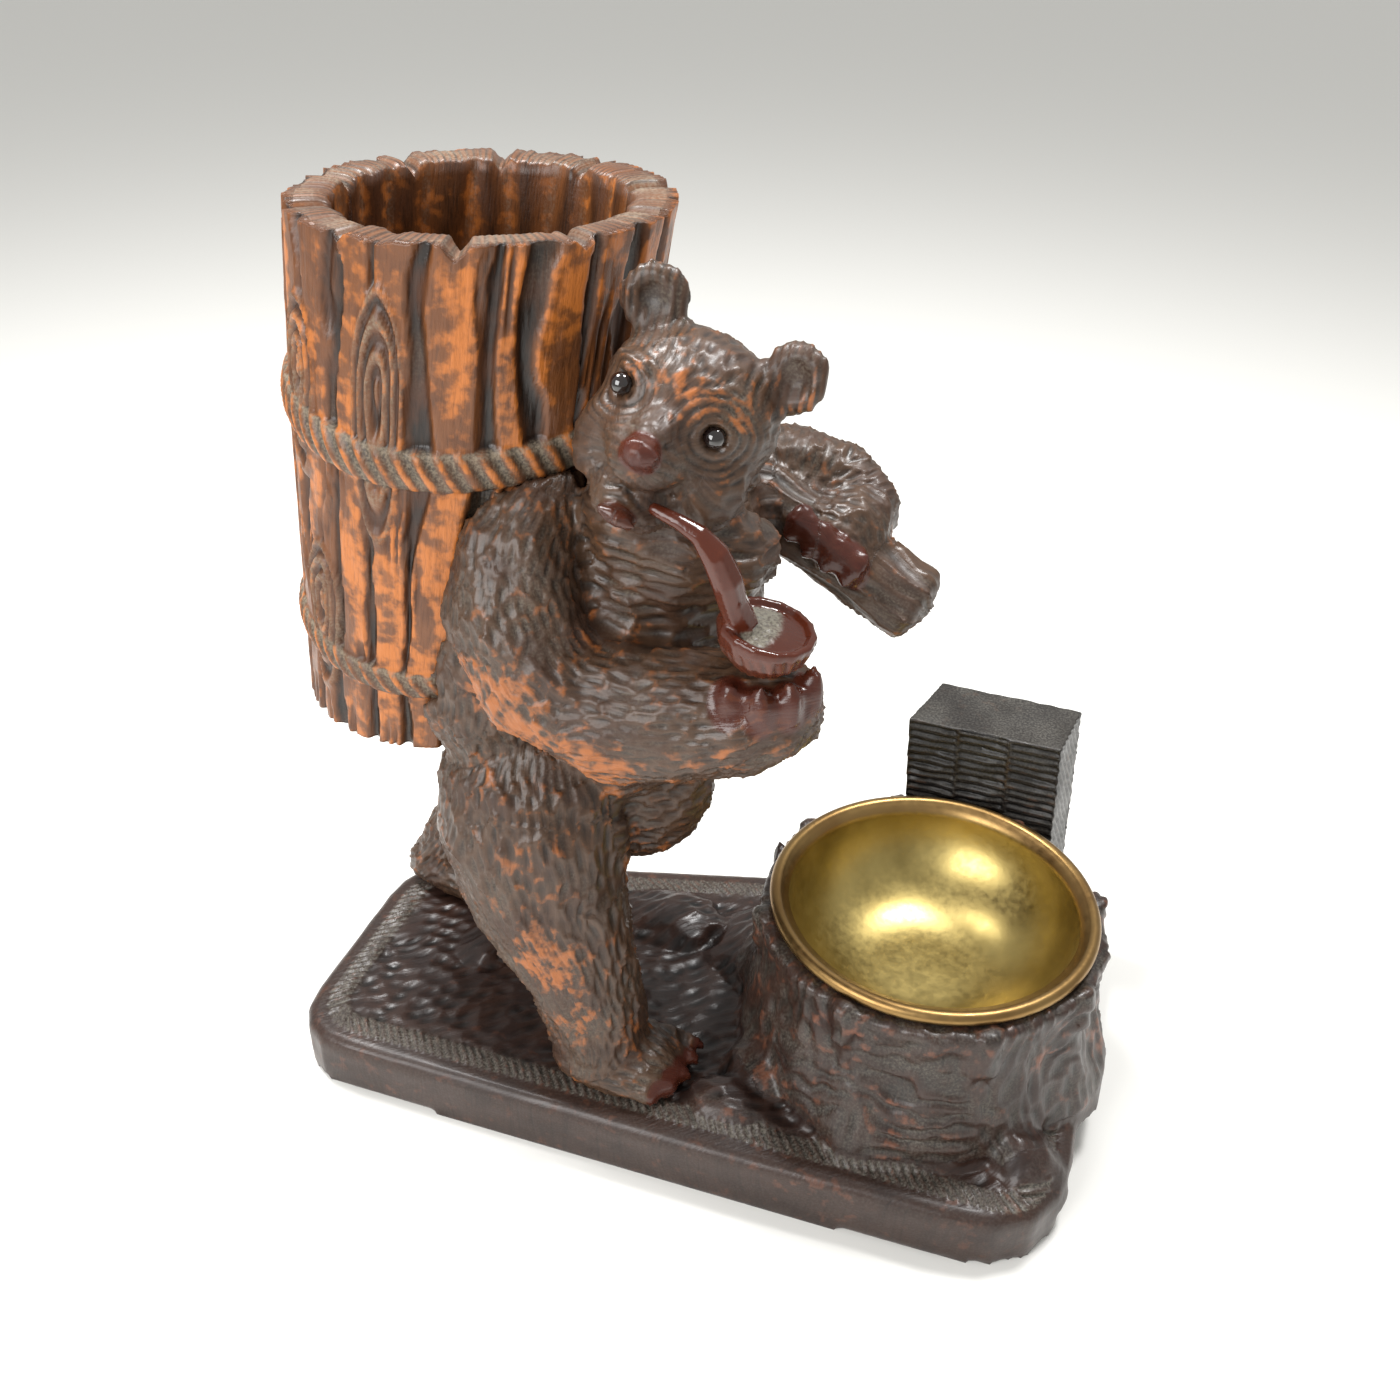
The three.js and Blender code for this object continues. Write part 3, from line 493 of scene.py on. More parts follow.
@dataclass(frozen=True)
class BlackGlass:
    """Black glass beads: a sharp light on a dark ball, with a faint brown depth."""

    name: str = "black glass"
    dark: str = "#07060a"
    brown: str = "#1d0f08"

    def material(self) -> bpy.types.Material:
        """Builds the shader."""
        made = bpy.data.materials.new(self.name)
        made.use_nodes = True
        tree = made.node_tree
        tree.nodes.clear()
        at = add_node(tree, "ShaderNodeTexCoord").outputs["Object"]
        cloud = add_node(tree, "ShaderNodeTexNoise", {0: at, "Scale": 1 / (2.5 * MM), "Detail": 2.0}).outputs[0]
        colour = add_node(tree, "ShaderNodeMix", {0: cloud, 6: tone(self.dark), 7: tone(self.brown)},
                          data_type="RGBA").outputs[2]
        shader = add_node(tree, "ShaderNodeBsdfPrincipled", {
            "Base Color": colour, "Roughness": 0.06, "IOR": 1.52, "Coat Weight": 1.0, "Coat Roughness": 0.03,
        })
        add_node(tree, "ShaderNodeOutputMaterial", {"Surface": shader.outputs[0]})
        return made


# The head's own axes


@dataclass(frozen=True)
class HeadAxes:
    """Axes of the turned head: across the face, up the brow and out of the face, from between the eyes."""

    at: Triple = (-4.7, -43.0, 168.7)
    to_viewer: Triple = (0.287, -0.878, 0.383)
    tilt: float = 27.0
    nod: float = 12.0
    turn: float = 8.0
    eye_spread: float = 8.2
    eye_radius: float = 1.75

    def axes(self) -> np.ndarray:
        """Works out the three directions.

        Returns:
            Rows for across, up and out.
        """
        out = Vector(self.to_viewer).normalized()
        level = Vector((0, 0, 1)).cross(out).normalized()
        brow = out.cross(level)
        spin = Matrix.Rotation(math.radians(-self.tilt), 3, out)
        across, up = spin @ level, spin @ brow
        nod = Matrix.Rotation(math.radians(self.nod), 3, across)
        out, up = nod @ out, nod @ up
        turn = Matrix.Rotation(math.radians(-self.turn), 3, up)
        return np.array([turn @ across, up, turn @ out])

    def into(self, points: np.ndarray) -> np.ndarray:
        """Turns places in the row's axes to places in the head's."""
        return (points - np.array(self.at)) @ self.axes().T

    def place(self, inside: Sequence[float]) -> np.ndarray:
        """Turns a place in the head's axes to one in the row's."""
        return np.array(self.at) + np.array(inside) @ self.axes()


# The bear


@dataclass(frozen=True)
class Coat:
    """How the fur lies on one part of the bear.

    Attributes:
        name: The part.
        line: Middle line of the part, in the way that the fur grows.
        half: Half width of the part along that line.
        pitch: Width of a cut.
        length: Length of a cut.
        depth: Depth of a cut.
        turned: Whether the cuts go round the part instead of along it.
        seam: Direction of the side on which the pattern closes, out of sight.
    """

    name: str
    line: tuple[Triple, ...]
    half: tuple[float, ...]
    pitch: float = 1.7
    length: float = 5.2
    depth: float = 0.55
    turned: bool = False
    seam: Triple = (0.0, 1.0, -0.3)


@dataclass
class Bear:
    """The bear with its branch, one carving."""

    head: HeadAxes = field(default_factory=HeadAxes)
    skin: float = 1.17
    ears: tuple[Triple, ...] = ((-11.0, 12.4, -9.4), (13.8, 13.4, -10.0))
    nose: Triple = (0.7, -5.4, 10.2)
    lip: Triple = (1.5, -16.6, 6.6)
    near_claws: tuple[Triple, ...] = ((8.6, -49.2, 122.2), (14.0, -49.4, 122.6), (18.6, -47.0, 123.2), (21.2, -42.8, 124.0))
    far_claws: tuple[Triple, ...] = tuple((8.8 + 3.7 * i, -8.2, 136.0 - 2.5 * i) for i in range(4))
    toes: tuple[Triple, ...] = tuple((0.5 + 1.2 * (i - 2), -39.5 + 4.2 * (i - 2), 17.6) for i in range(5))
    worn_spots: tuple[tuple[Triple, float, float], ...] = (
        ((-33.0, -52.0, 112.0), 15.0, 0.75),
        ((-14.0, -54.0, 104.0), 13.0, 0.6),
        ((-26.0, -56.0, 52.0), 13.0, 0.65),
        ((-20.0, -51.0, 36.0), 9.0, 0.4),
        ((-40.0, -48.0, 92.0), 9.0, 0.35),
        ((-1.0, -46.0, 175.0), 8.0, 0.55),
        ((8.0, -44.0, 168.0), 6.0, 0.5),
        ((6.0, -53.0, 112.0), 8.0, 0.3),
    )

    def coats(self) -> list[Coat]:
        """Lists the parts of the bear and how their fur lies."""
        skull = tuple(tuple(self.head.place(p)) for p in ((0.6, -7, 12), (0.4, -6, 4), (1, -3, -6), (2, 0, -16)))
        return [
            Coat("head", skull, (5, 9, 13, 14), pitch=1.35, length=3.8, depth=0.34),
            Coat("neck", (self._inside(0, -16, 0), self._inside(2, -10, -18), (-14, -20, 140)), (6, 12, 15),
                 pitch=1.7, length=6.0, depth=0.6),
            Coat("chest", ((-9, -18, 158), (-12, -20, 140), (-14, -20, 118)), (14, 24, 24),
                 pitch=2.3, length=9.0, depth=0.8, turned=True),
            Coat("back", ((-14, -8, 150), (-22, -6, 110), (-34, -8, 80)), (20, 20, 18), pitch=2.2, length=6.0),
            Coat("belly", ((-12, -16, 104), (-16, -16, 84), (-22, -16, 66)), (24, 22, 15),
                 pitch=2.2, length=7.0, depth=0.7, turned=True),
            Coat("near arm", ((-26, -24, 158), (-31, -31, 146), (-34, -35, 132), (-31, -38, 119), (-21, -40, 111),
                              (-7, -42, 112), (7, -42, 115), (20, -39, 119)),
                 (9, 12, 14, 15, 14, 12.5, 11.5, 9), pitch=1.55, length=4.8, depth=0.5),
            Coat("flank", ((-40, -33, 116), (-43, -34, 98), (-40, -33, 84)), (10, 12, 13), pitch=1.8, length=5.5),
            Coat("far arm", ((-12, 6, 138), (0, 11.5, 137), (11.5, 13, 134.8), (17.8, 8.5, 131.6), (16, -2, 131)),
                 (10, 9.6, 9.2, 8.2, 7.6), pitch=1.7, length=5.0, depth=0.5, turned=True, seam=(0, 0.2, -1)),
            Coat("branch", ((-8, 2, 138.5), (8, 1.5, 130.5), (22, 0.5, 123.4), (36, -0.6, 116.6)),
                 (7, 7.2, 7.6, 8), pitch=3.6, length=22.0, depth=0.8, seam=(0, 1, 0)),
            Coat("near leg", ((-36, -31, 98), (-36, -33, 82), (-33, -37, 65), (-26.5, -39, 50), (-21, -40, 35),
                              (-19.5, -40, 22)), (15, 19, 17, 13, 11, 10), pitch=1.75, length=6.5, depth=0.6),
            Coat("near foot", ((-30, -40, 19), (-16, -40, 19.5), (2, -39.5, 17)), (8, 9, 7), pitch=1.9, length=5.0),
            Coat("far leg", ((-38, 2, 88), (-44, 5, 68), (-56, 6, 50), (-68, 6, 36), (-80, 5, 20)),
                 (14, 14, 12, 10, 8.5), pitch=1.8, length=6.0, depth=0.6, seam=(0, 1, 0)),
            Coat("far foot", ((-88, 4.6, 19), (-72, 4, 20), (-54, 3, 16)), (7, 8, 6), pitch=1.9, length=5.0),
        ]

    def _inside(self, *at: float) -> Triple:
        """A place in the head's axes as one in the row's."""
        x, y, z = self.head.place(at)
        return (float(x), float(y), float(z))

    def build(self, finish: CarvedWood) -> bpy.types.Object:
        """Carves the bear.

        Args:
            finish: Its wood.

        Returns:
            The bear.
        """
        piece = merged_copy("bear", "carved_bear")
        remeshed(piece, self.skin)
        rough = Carving(piece)
        local = self.head.into(rough.at)
        firm = self._firm(rough.at, local)
        rough.soften(24, 1 - 0.8 * firm)
        rough.write()
        camera = np.array([57.0, -227.0, 247.0])

        def seen(centre: np.ndarray, facing: np.ndarray) -> np.ndarray:
            """Faces that look towards the front or the viewer."""
            toward = camera - centre
            toward /= np.linalg.norm(toward, axis=1)[:, None]
            return np.einsum("ij,ij->i", facing, toward) > -0.02

        refine(piece, seen)
        carving = Carving(piece)
        carving.soften(3)
        carving.write()
        self._carve(carving)
        shade_smooth(piece)
        dress(piece, finish.material(), "bear_wood", "bear")
        return piece

    def _firm(self, at: np.ndarray, local: np.ndarray) -> np.ndarray:
        """Says how far each place keeps its small forms, from 0 to 1."""
        firm = rising(26, 20, np.linalg.norm(local - np.array([1, -3, -2]), axis=1)) * 0.75
        for point in (*self.near_claws, *self.far_claws, *self.toes):
            firm = np.maximum(firm, rising(7.5, 4.5, np.linalg.norm(at - np.array(point), axis=1)))
        return firm

    def _nearest(self, at: np.ndarray, coat: Coat) -> tuple[np.ndarray, np.ndarray, np.ndarray]:
        """Measures a coat's part at each place.

        Args:
            at: The places.
            coat: The part.

        Returns:
            Closeness as a share of the part's half width, distance along it, and distance round it.
        """
        corners = np.array(coat.line, float)
        steps = np.linalg.norm(np.diff(corners, axis=0), axis=1)
        best = np.full(len(at), 1e9)
        along = np.zeros(len(at))
        round_it = np.zeros(len(at))
        start = 0.0
        for i, step in enumerate(steps):
            ahead = (corners[i + 1] - corners[i]) / step
            rest = at - corners[i]
            share = np.clip(rest @ ahead / step, 0, 1)
            half = coat.half[i] + (coat.half[i + 1] - coat.half[i]) * share
            off = rest - np.outer(share * step, ahead)
            far = np.linalg.norm(off, axis=1) / half
            side = np.array(coat.seam) - ahead * np.dot(ahead, coat.seam)
            side /= np.linalg.norm(side)
            other = np.cross(ahead, side)
            turn = np.arctan2(off @ other, -(off @ side))
            better = far < best
            best = np.where(better, far, best)
            along = np.where(better, start + rest @ ahead, along)
            round_it = np.where(better, turn * np.mean(coat.half), round_it)
            start += step
        return best, along, round_it

    def _carve(self, carving: Carving) -> None:
        """Cuts fur, face, ears, claws and branch, marks wear and dust, and paints shade into the hollows of the form
        and the middle of the ears.
        """
        at = carving.at
        local = self.head.into(at)
        count = len(at)
        closest = np.full(count, 1e9)
        rise = np.zeros(count)
        relief = np.zeros(count)
        flow = np.zeros((count, 3))
        part = np.zeros(count, int)
        sway_a = 1.3 * noise(at, 9.0, 3) + 0.5 * noise(at, 4.0, 5)
        sway_b = 1.0 * noise(at, 8.0, 7) + 0.4 * noise(at, 3.5, 9)
        for index, coat in enumerate(self.coats()):
            far, along, round_it = self._nearest(at, coat)
            far = far + 0.06 * noise(at, 6.0, 20 + index)
            mine = far < closest
            closest = np.where(mine, far, closest)
            one, two = (round_it, along) if coat.turned else (along, round_it)
            one, two = one + sway_a, two + sway_b
            cuts = gouge(one / coat.length, two / coat.pitch, 40 + 3 * index)
            height = cuts.hollow ** 1.4 - 0.5 + 0.35 * cuts.ridge * (0.4 + 0.6 * cuts.chance)
            height = height - 0.55 * cuts.ahead
            height = height * (0.65 + 0.5 * cuts.chance)
            rise = np.where(mine, coat.depth * height, rise)
            relief = np.where(mine, np.clip(0.5 + 0.6 * height, 0, 1), relief)
            flow = np.where(mine[:, None], np.stack([one, two, np.full(count, 10.0 * index)], -1) * MM, flow)
            part = np.where(mine, index, part)
        polish = np.zeros(count)
        polish = self._face(carving, local, rise, relief, polish)
        for point in (*self.near_claws, *self.far_claws, *self.toes):
            near = rising(4.6, 3.0, np.linalg.norm((at - np.array(point)) * np.array([1, 1, 0.6]), axis=1))
            rise *= 1 - 0.85 * near
            polish = np.maximum(polish, 0.8 * near)
        wear = 0.12 + 0.1 * noise(at, 14.0, 61)
        for point, reach, strength in self.worn_spots:
            far = np.linalg.norm(at - np.array(point), axis=1)
            wear = np.maximum(wear, strength * rising(reach * 1.25, reach * 0.3, far))
        wear += 0.22 * noise(at, 5.0, 62)
        carving.push(rise)
        hollowness = self._hollowness(carving)
        dust = np.clip(0.45 * (1 - relief) + 0.55 * hollowness + 0.25 * noise(at, 7.0, 63), 0, 1) * (1 - polish)
        # Painted shade: the relief mark is lowered in the hollows of the form, so the finish darkens them with its deep
        # tone.
        carving.mark("relief", np.clip(relief - 0.35 * hollowness, 0, 1))
        carving.mark("wear", np.clip(wear * (1 - 0.8 * hollowness), 0, 1))
        carving.mark("dust", dust * 0.75)
        carving.mark("polish", polish)
        carving.mark("flow", flow)

    def _hollowness(self, carving: Carving) -> np.ndarray:
        """How far each place lies in a hollow of the form, from 0 to 1."""
        mean = carving.at
        for _ in range(10):
            mean = carving.around(mean)
        sink = np.einsum("ij,ij->i", mean - carving.at, carving.normal)
        return rising(0.15, 1.1, sink)

    def _face(self, carving: Carving, local: np.ndarray, rise: np.ndarray, relief: np.ndarray,
              polish: np.ndarray) -> np.ndarray:
        """Cuts the lines round the eyes and the muzzle and the flutes of the ears, and paints shade into the middle of
        each ear's cup.

        Args:
            carving: The bear.
            local: Each place in the head's axes.
            rise: Rise of each place, changed here.
            relief: Mark for the stain and for painted shade, changed here.
            polish: Mark for the smooth places.

        Returns:
            The new mark for the smooth places.
        """
        head = self.head
        wobble = 0.35 * noise(carving.at, 3.0, 71)
        for side in (-1, 1):
            eye = np.array([side * head.eye_spread, 0.0, 0.2])
            away = local - eye
            far = np.linalg.norm(away * np.array([0.85, 1.0, 0.8]), axis=1)
            window = rising(1.9, 3.0, far) * rising(9.5, 5.0, far) * rising(-9, -4, away[:, 2])
            lines = np.cos(2 * math.pi * (far + wobble) / 1.35)
            rise[:] = rise * (1 - 0.8 * window) + 0.14 * lines * window
            relief[:] = relief * (1 - 0.7 * window) + 0.7 * window * (0.5 + 0.45 * lines)
            lid = np.exp(-((far - 2.5) / 0.55) ** 2)
            rise += 0.35 * lid
        for centre in self.ears:
            away = local - np.array(centre)
            far = np.hypot(away[:, 0], away[:, 1])
            turn = np.arctan2(away[:, 1], away[:, 0])
            window = rising(8.5, 6.6, far) * rising(-3.8, -2.4, away[:, 2])
            flutes = np.cos(2 * math.pi * (away[:, 0] + 0.35 * away[:, 1] + wobble) / 1.5)
            keep = window * rising(1.6, 3.2, far)
            rise[:] = rise * (1 - 0.9 * window) + 0.13 * flutes * keep
            # Painted shade: where the flutes stop in the middle of the cup, the relief mark falls to a fifth and the
            # cup's middle reads dark.
            relief[:] = relief * (1 - 0.8 * window) + 0.8 * keep * (0.5 + 0.5 * flutes)
        nose = np.linalg.norm((local - np.array(self.nose)) * np.array([0.8, 1.0, 0.9]), axis=1)
        smooth_nose = rising(4.2, 2.6, nose)
        lip = np.linalg.norm((local - np.array(self.lip)) * np.array([0.6, 1.1, 0.9]), axis=1)
        smooth_lip = rising(3.2, 1.8, lip)
        muzzle = rising(10.5, 6.0, np.linalg.norm(local - np.array([0.6, -9.0, 8.0]), axis=1)) * (1 - smooth_nose)
        lines = np.cos(2 * math.pi * (local[:, 1] + 0.35 * np.abs(local[:, 0]) + wobble) / 1.5)
        rise[:] = rise * (1 - 0.7 * muzzle) + 0.2 * lines * muzzle
        relief[:] = relief * (1 - 0.6 * muzzle) + 0.6 * muzzle * (0.5 + 0.45 * lines)
        calm = np.maximum(smooth_nose, smooth_lip)
        rise *= 1 - 0.9 * calm
        relief[:] = relief * (1 - calm) + 0.6 * calm
        return np.maximum(polish, np.maximum(smooth_nose, 0.7 * smooth_lip))


# The hollow tree trunk


@dataclass(frozen=True)
class Rope:
    """A carved rope round the trunk: its height, half width, how far it stands out and its number of strands."""

    height: float
    half: float
    proud: float
    strands: int


@dataclass(frozen=True)
class Knot:
    """A knot in the bark with arches over it: its turn in degrees, height, width and length."""

    turn: float
    height: float
    wide: float
    high: float


@dataclass
class TrunkJar:
    """The hollow trunk: bark with furrows and knots, ropes, a notched rim and a fluted hollow."""

    rim_at: Triple = (-48.0, -13.0, 190.0)
    foot_at: Triple = (-62.3, -13.0, 91.4)
    rim_radius: float = 32.8
    waist_radius: float = 31.8
    foot_radius: float = 28.4
    waist: float = 0.62
    wall: float = 7.6
    floor: float = 12.0
    notches: int = 10
    notch_depth: float = 1.9
    segments: int = 460
    ropes: tuple[Rope, ...] = (Rope(153.0, 3.3, 1.6, 56), Rope(107.5, 2.3, 1.4, 56))
    knots: tuple[Knot, ...] = (
        Knot(-128, 166, 5.0, 12.0), Knot(-93, 166, 4.6, 17.0), Knot(-120, 121, 5.0, 12.0),
        Knot(168, 128, 5.5, 12.0), Knot(95, 166, 5.5, 13.0), Knot(120, 120, 5.5, 10.0),
    )

    def centre(self, z: np.ndarray) -> np.ndarray:
        """Middle of the trunk at a height."""
        rise = (z - self.foot_at[2]) / (self.rim_at[2] - self.foot_at[2])
        return np.outer(1 - rise, self.foot_at[:2]) + np.outer(rise, self.rim_at[:2])

    def radius(self, z: np.ndarray) -> np.ndarray:
        """Plain radius of the trunk at a height."""
        rise = np.clip((z - self.foot_at[2]) / (self.rim_at[2] - self.foot_at[2]), 0, 1)
        low = self.foot_radius + (self.waist_radius - self.foot_radius) * rise / self.waist
        high = self.waist_radius + (self.rim_radius - self.waist_radius) * (rise - self.waist) / (1 - self.waist)
        return np.where(rise < self.waist, low, high)

    @staticmethod
    def drift(turn: np.ndarray) -> np.ndarray:
        """Rise and fall of the ropes round the trunk."""
        return 1.2 - 2.4 * np.cos(2 * (turn - math.radians(-86))) - 2 * np.cos(turn - math.radians(17))

    def drifted(self, z: np.ndarray, turn: np.ndarray) -> np.ndarray:
        """Height of a level that follows the ropes between the flat ends."""
        high_rope, low_rope = self.ropes
        low = rising(self.foot_at[2], low_rope.height - low_rope.half, z)
        high = 1 - rising(high_rope.height + high_rope.half, self.rim_at[2], z)
        return z + self.drift(turn) * low * high

    def _shell(self) -> bpy.types.Object:
        """Spins the plain vessel: outside at radius 1, inside at 0.5, in unit widths."""
        rim, foot = self.rim_at[2], self.foot_at[2]
        outside = [(1.0, z) for z in np.linspace(foot, rim, 150)]
        lip = [(r, rim) for r in np.linspace(1.0, 0.5, 13)[1:]]
        inside = [(0.5, z) for z in np.linspace(rim, foot + self.floor, 34)[1:]]
        bottom = [(r, foot + self.floor) for r in (0.35, 0.2)]
        below = [(r, foot) for r in (0.12, 0.16)]
        profile = [(0.0, foot), *below, *outside, *lip, *inside, *bottom, (0.0, foot + self.floor)]
        body = bmesh.new()
        points = [body.verts.new((r, 0, z)) for r, z in profile]
        edges = [body.edges.new(pair) for pair in zip(points, points[1:])]
        bmesh.ops.spin(body, geom=[*points, *edges], cent=(0, 0, 0), axis=(0, 0, 1), angle=2 * math.pi,
                       steps=self.segments, use_merge=True)
        bmesh.ops.remove_doubles(body, verts=body.verts, dist=1e-5)
        bmesh.ops.recalc_face_normals(body, faces=body.faces)
        mesh = bpy.data.meshes.new("trunk_jar_carved")
        body.to_mesh(mesh)
        body.free()
        return place("trunk_jar_carved", mesh)

    def build(self, finish: CarvedWood) -> bpy.types.Object:
        """Carves the jar.

        Args:
            finish: Its wood.

        Returns:
            The jar.
        """
        piece = self._shell()
        carving = Carving(piece)
        unit = carving.at * MM
        reach = np.hypot(unit[:, 0], unit[:, 1])
        turn = np.arctan2(unit[:, 1], unit[:, 0])
        level = unit[:, 2]
        outside = reach > 0.9
        lip = (reach > 0.501) & ~outside & (level > self.rim_at[2] - 0.01)
        inside = (reach < 0.501) & (reach > 0.45)
        floor = (reach <= 0.45) & (level > self.foot_at[2] + 1)
        under = (reach <= 0.45) & ~floor
        z = np.where(outside, self.drifted(level, turn), level)
        bark, marks = self._bark(level, z, turn)
        fluted = self._flutes(z, turn)
        share = np.clip((reach - 0.5) / 0.5, 0, 1)
        outer = self.radius(z)
        inner = outer - self.wall
        width = np.select([outside, lip, inside, floor, under],
                          [outer + bark, inner + (outer - inner) * share, inner + fluted,
                           inner * reach / 0.5, outer * reach / 0.17], 0.0)
        axis_at = reach < 1e-6
        width = np.where(axis_at, 0.0, width)
        drop = self._notches(turn, share, level)
        z = np.where(outside | lip | inside, z - drop, z)
        middle = self.centre(z)
        carving.at = np.stack([middle[:, 0] + width * np.cos(turn), middle[:, 1] + width * np.sin(turn), z], -1)
        carving.write()
        relief = np.select([outside, lip, inside], [marks["relief"], 0.45 + 0.3 * np.cos(150 * turn),
                                                    0.5 + 0.5 * fluted], 0.2)
        wear = np.select([outside, inside], [marks["wear"], 0.25 + 0.2 * noise(carving.at, 8.0, 91)], 0.05)
        dust = np.select([outside, lip, inside], [marks["dust"], 0.45 + 0.3 * noise(carving.at, 5.0, 92),
                                                  0.35 * rising(0.1, 0.42, fluted)], 0.5)
        carving.mark("relief", np.clip(relief, 0, 1))
        carving.mark("wear", np.clip(wear, 0, 1))
        carving.mark("dust", np.clip(dust, 0, 1))
        carving.mark("polish", np.zeros(len(turn)))
        carving.mark("flow", np.stack([z, turn * 31, 60.0 * (~outside)], -1) * MM)
        shade_smooth(piece)
        dress(piece, finish.material(), "bark_wood", "trunk_jar")
        return piece

    def _notches(self, turn: np.ndarray, share: np.ndarray, level: np.ndarray) -> np.ndarray:
        """How far the rim is cut down, at its notches and in small chips."""
        step = 2 * math.pi / self.notches
        off = np.abs((turn + step / 2) % step - step / 2) * 31
        deep = self.notch_depth * np.clip(1 - off / 1.9, 0, 1) ** 0.8
        wavy = np.stack([turn * 31, np.zeros(len(turn))], -1)
        chips = 0.45 * noise(wavy, 3.2, 101) + 0.3 * noise(wavy, 1.4, 102)
        grooves = 0.22 * (0.5 + 0.5 * np.cos(150 * turn + 2 * np.sin(7 * turn)))
        near_top = rising(self.rim_at[2] - 5, self.rim_at[2], level)
        rounded = 1.1 * (np.abs(share - 0.5) * 2) ** 4
        return (deep + np.maximum(chips, 0) + grooves * 0.6 + rounded * 0.8) * near_top

    def _flutes(self, z: np.ndarray, turn: np.ndarray) -> np.ndarray:
        """Broad flutes inside the jar, as a rise of the wall's surface outwards."""
        place_at = np.stack([turn * 25, z / 4], -1)
        phase = turn * 25 / 7.5 + 0.25 * noise(place_at, 6.0, 111)
        return 0.42 * np.cos(2 * math.pi * phase) + 0.1 * noise(place_at, 1.5, 112)

    def _bark(self, level: np.ndarray, z: np.ndarray, turn: np.ndarray) -> tuple[np.ndarray, dict[str, np.ndarray]]:
        """Relief of the outside.

        Args:
            level: Height before the ropes' drift.
            z: Height after it.
            turn: Turn round the trunk.

        Returns:
            Rise of the surface and the marks for the finish.
        """
        arc = turn * 31.0
        flat = np.stack([arc, z * 0.28], -1)
        wander = 2.6 * noise(flat, 7.0, 121) + 1.1 * noise(flat, 3.0, 122)
        broad = (arc + wander) / 8.6
        near = np.abs(broad - np.round(broad)) * 8.6
        which = lattice(np.round(broad).astype(np.int64)[:, None] % 23, 123)
        wide = 1.2 + 0.8 * noise(np.stack([arc * 0.3, z * 0.5], -1), 6.0, 124) + 0.6 * which
        wide = np.clip(wide, 0.35, 2.6)
        furrow = np.clip(1 - (near / wide) ** 2, 0, 1) ** 0.6
        narrow = (arc + 0.8 * wander + 1.2 * noise(flat, 2.4, 125)) / 2.7
        slit_near = np.abs(narrow - np.round(narrow)) * 2.7
        active = rising(-0.1, 0.45, noise(np.stack([arc * 0.6, z * 0.22], -1), 4.0, 126))
        slit = np.clip(1 - (slit_near / 0.75) ** 2, 0, 1) * active
        rise = 0.15 - 1.55 * furrow - 0.75 * slit * (1 - furrow)
        relief = 0.8 - 0.75 * furrow - 0.5 * slit
        pale = 0.0 * arc
        for knot in self.knots:
            gap = np.arctan2(np.sin(turn - math.radians(knot.turn)), np.cos(turn - math.radians(knot.turn)))
            across = gap * 31 / knot.wide
            up = (z - knot.height) / knot.high
            reach = np.where(up > 0, np.hypot(across, up), np.hypot(across, 0.55 * up))
            reach = reach + 0.05 * noise(flat, 2.2, 130)
            inside = rising(1.08, 0.86, reach)
            rings = np.cos(2 * math.pi * 3.4 * (reach - 0.06))
            shape = 0.3 + 0.62 * rings - 0.4 * rising(0.35, 0.0, reach)
            rise = rise * (1 - inside) + inside * shape
            relief = relief * (1 - inside) + inside * (0.5 + 0.4 * rings)
            pale = np.maximum(pale, inside * rising(-0.2, 0.9, rings) * 0.9)
        fine = 0.09 * noise(np.stack([arc, z * 0.12], -1), 0.55, 131)
        rise = rise + fine
        wear = np.clip(0.9 * relief + 0.4 * noise(flat, 3.4, 132) - 0.38, 0, 1)
        dust = np.clip(0.12 * furrow + 0.1 * slit + 0.6 * pale + 0.2 * noise(flat, 4.0, 133), 0, 1)
        for rope in self.ropes:
            away = (level - rope.height) / rope.half
            on = np.abs(away) < 1.18
            twist = np.cos(rope.strands * turn + 3.4 * away)
            cord = rope.proud * np.sqrt(np.clip(1 - 0.7 * away ** 2, 0, 1)) * (0.72 + 0.28 * twist)
            rise = np.where(on, cord, rise)
            relief = np.where(on, 0.35 + 0.4 * twist, relief)
            wear = np.where(on, 0.3 + 0.25 * twist, wear)
            dust = np.where(on, 0.45 - 0.3 * twist + 0.5 * rising(0.6, 1.0, away), dust)
        return rise, {"relief": relief, "wear": wear, "dust": dust}


# Base with the stump


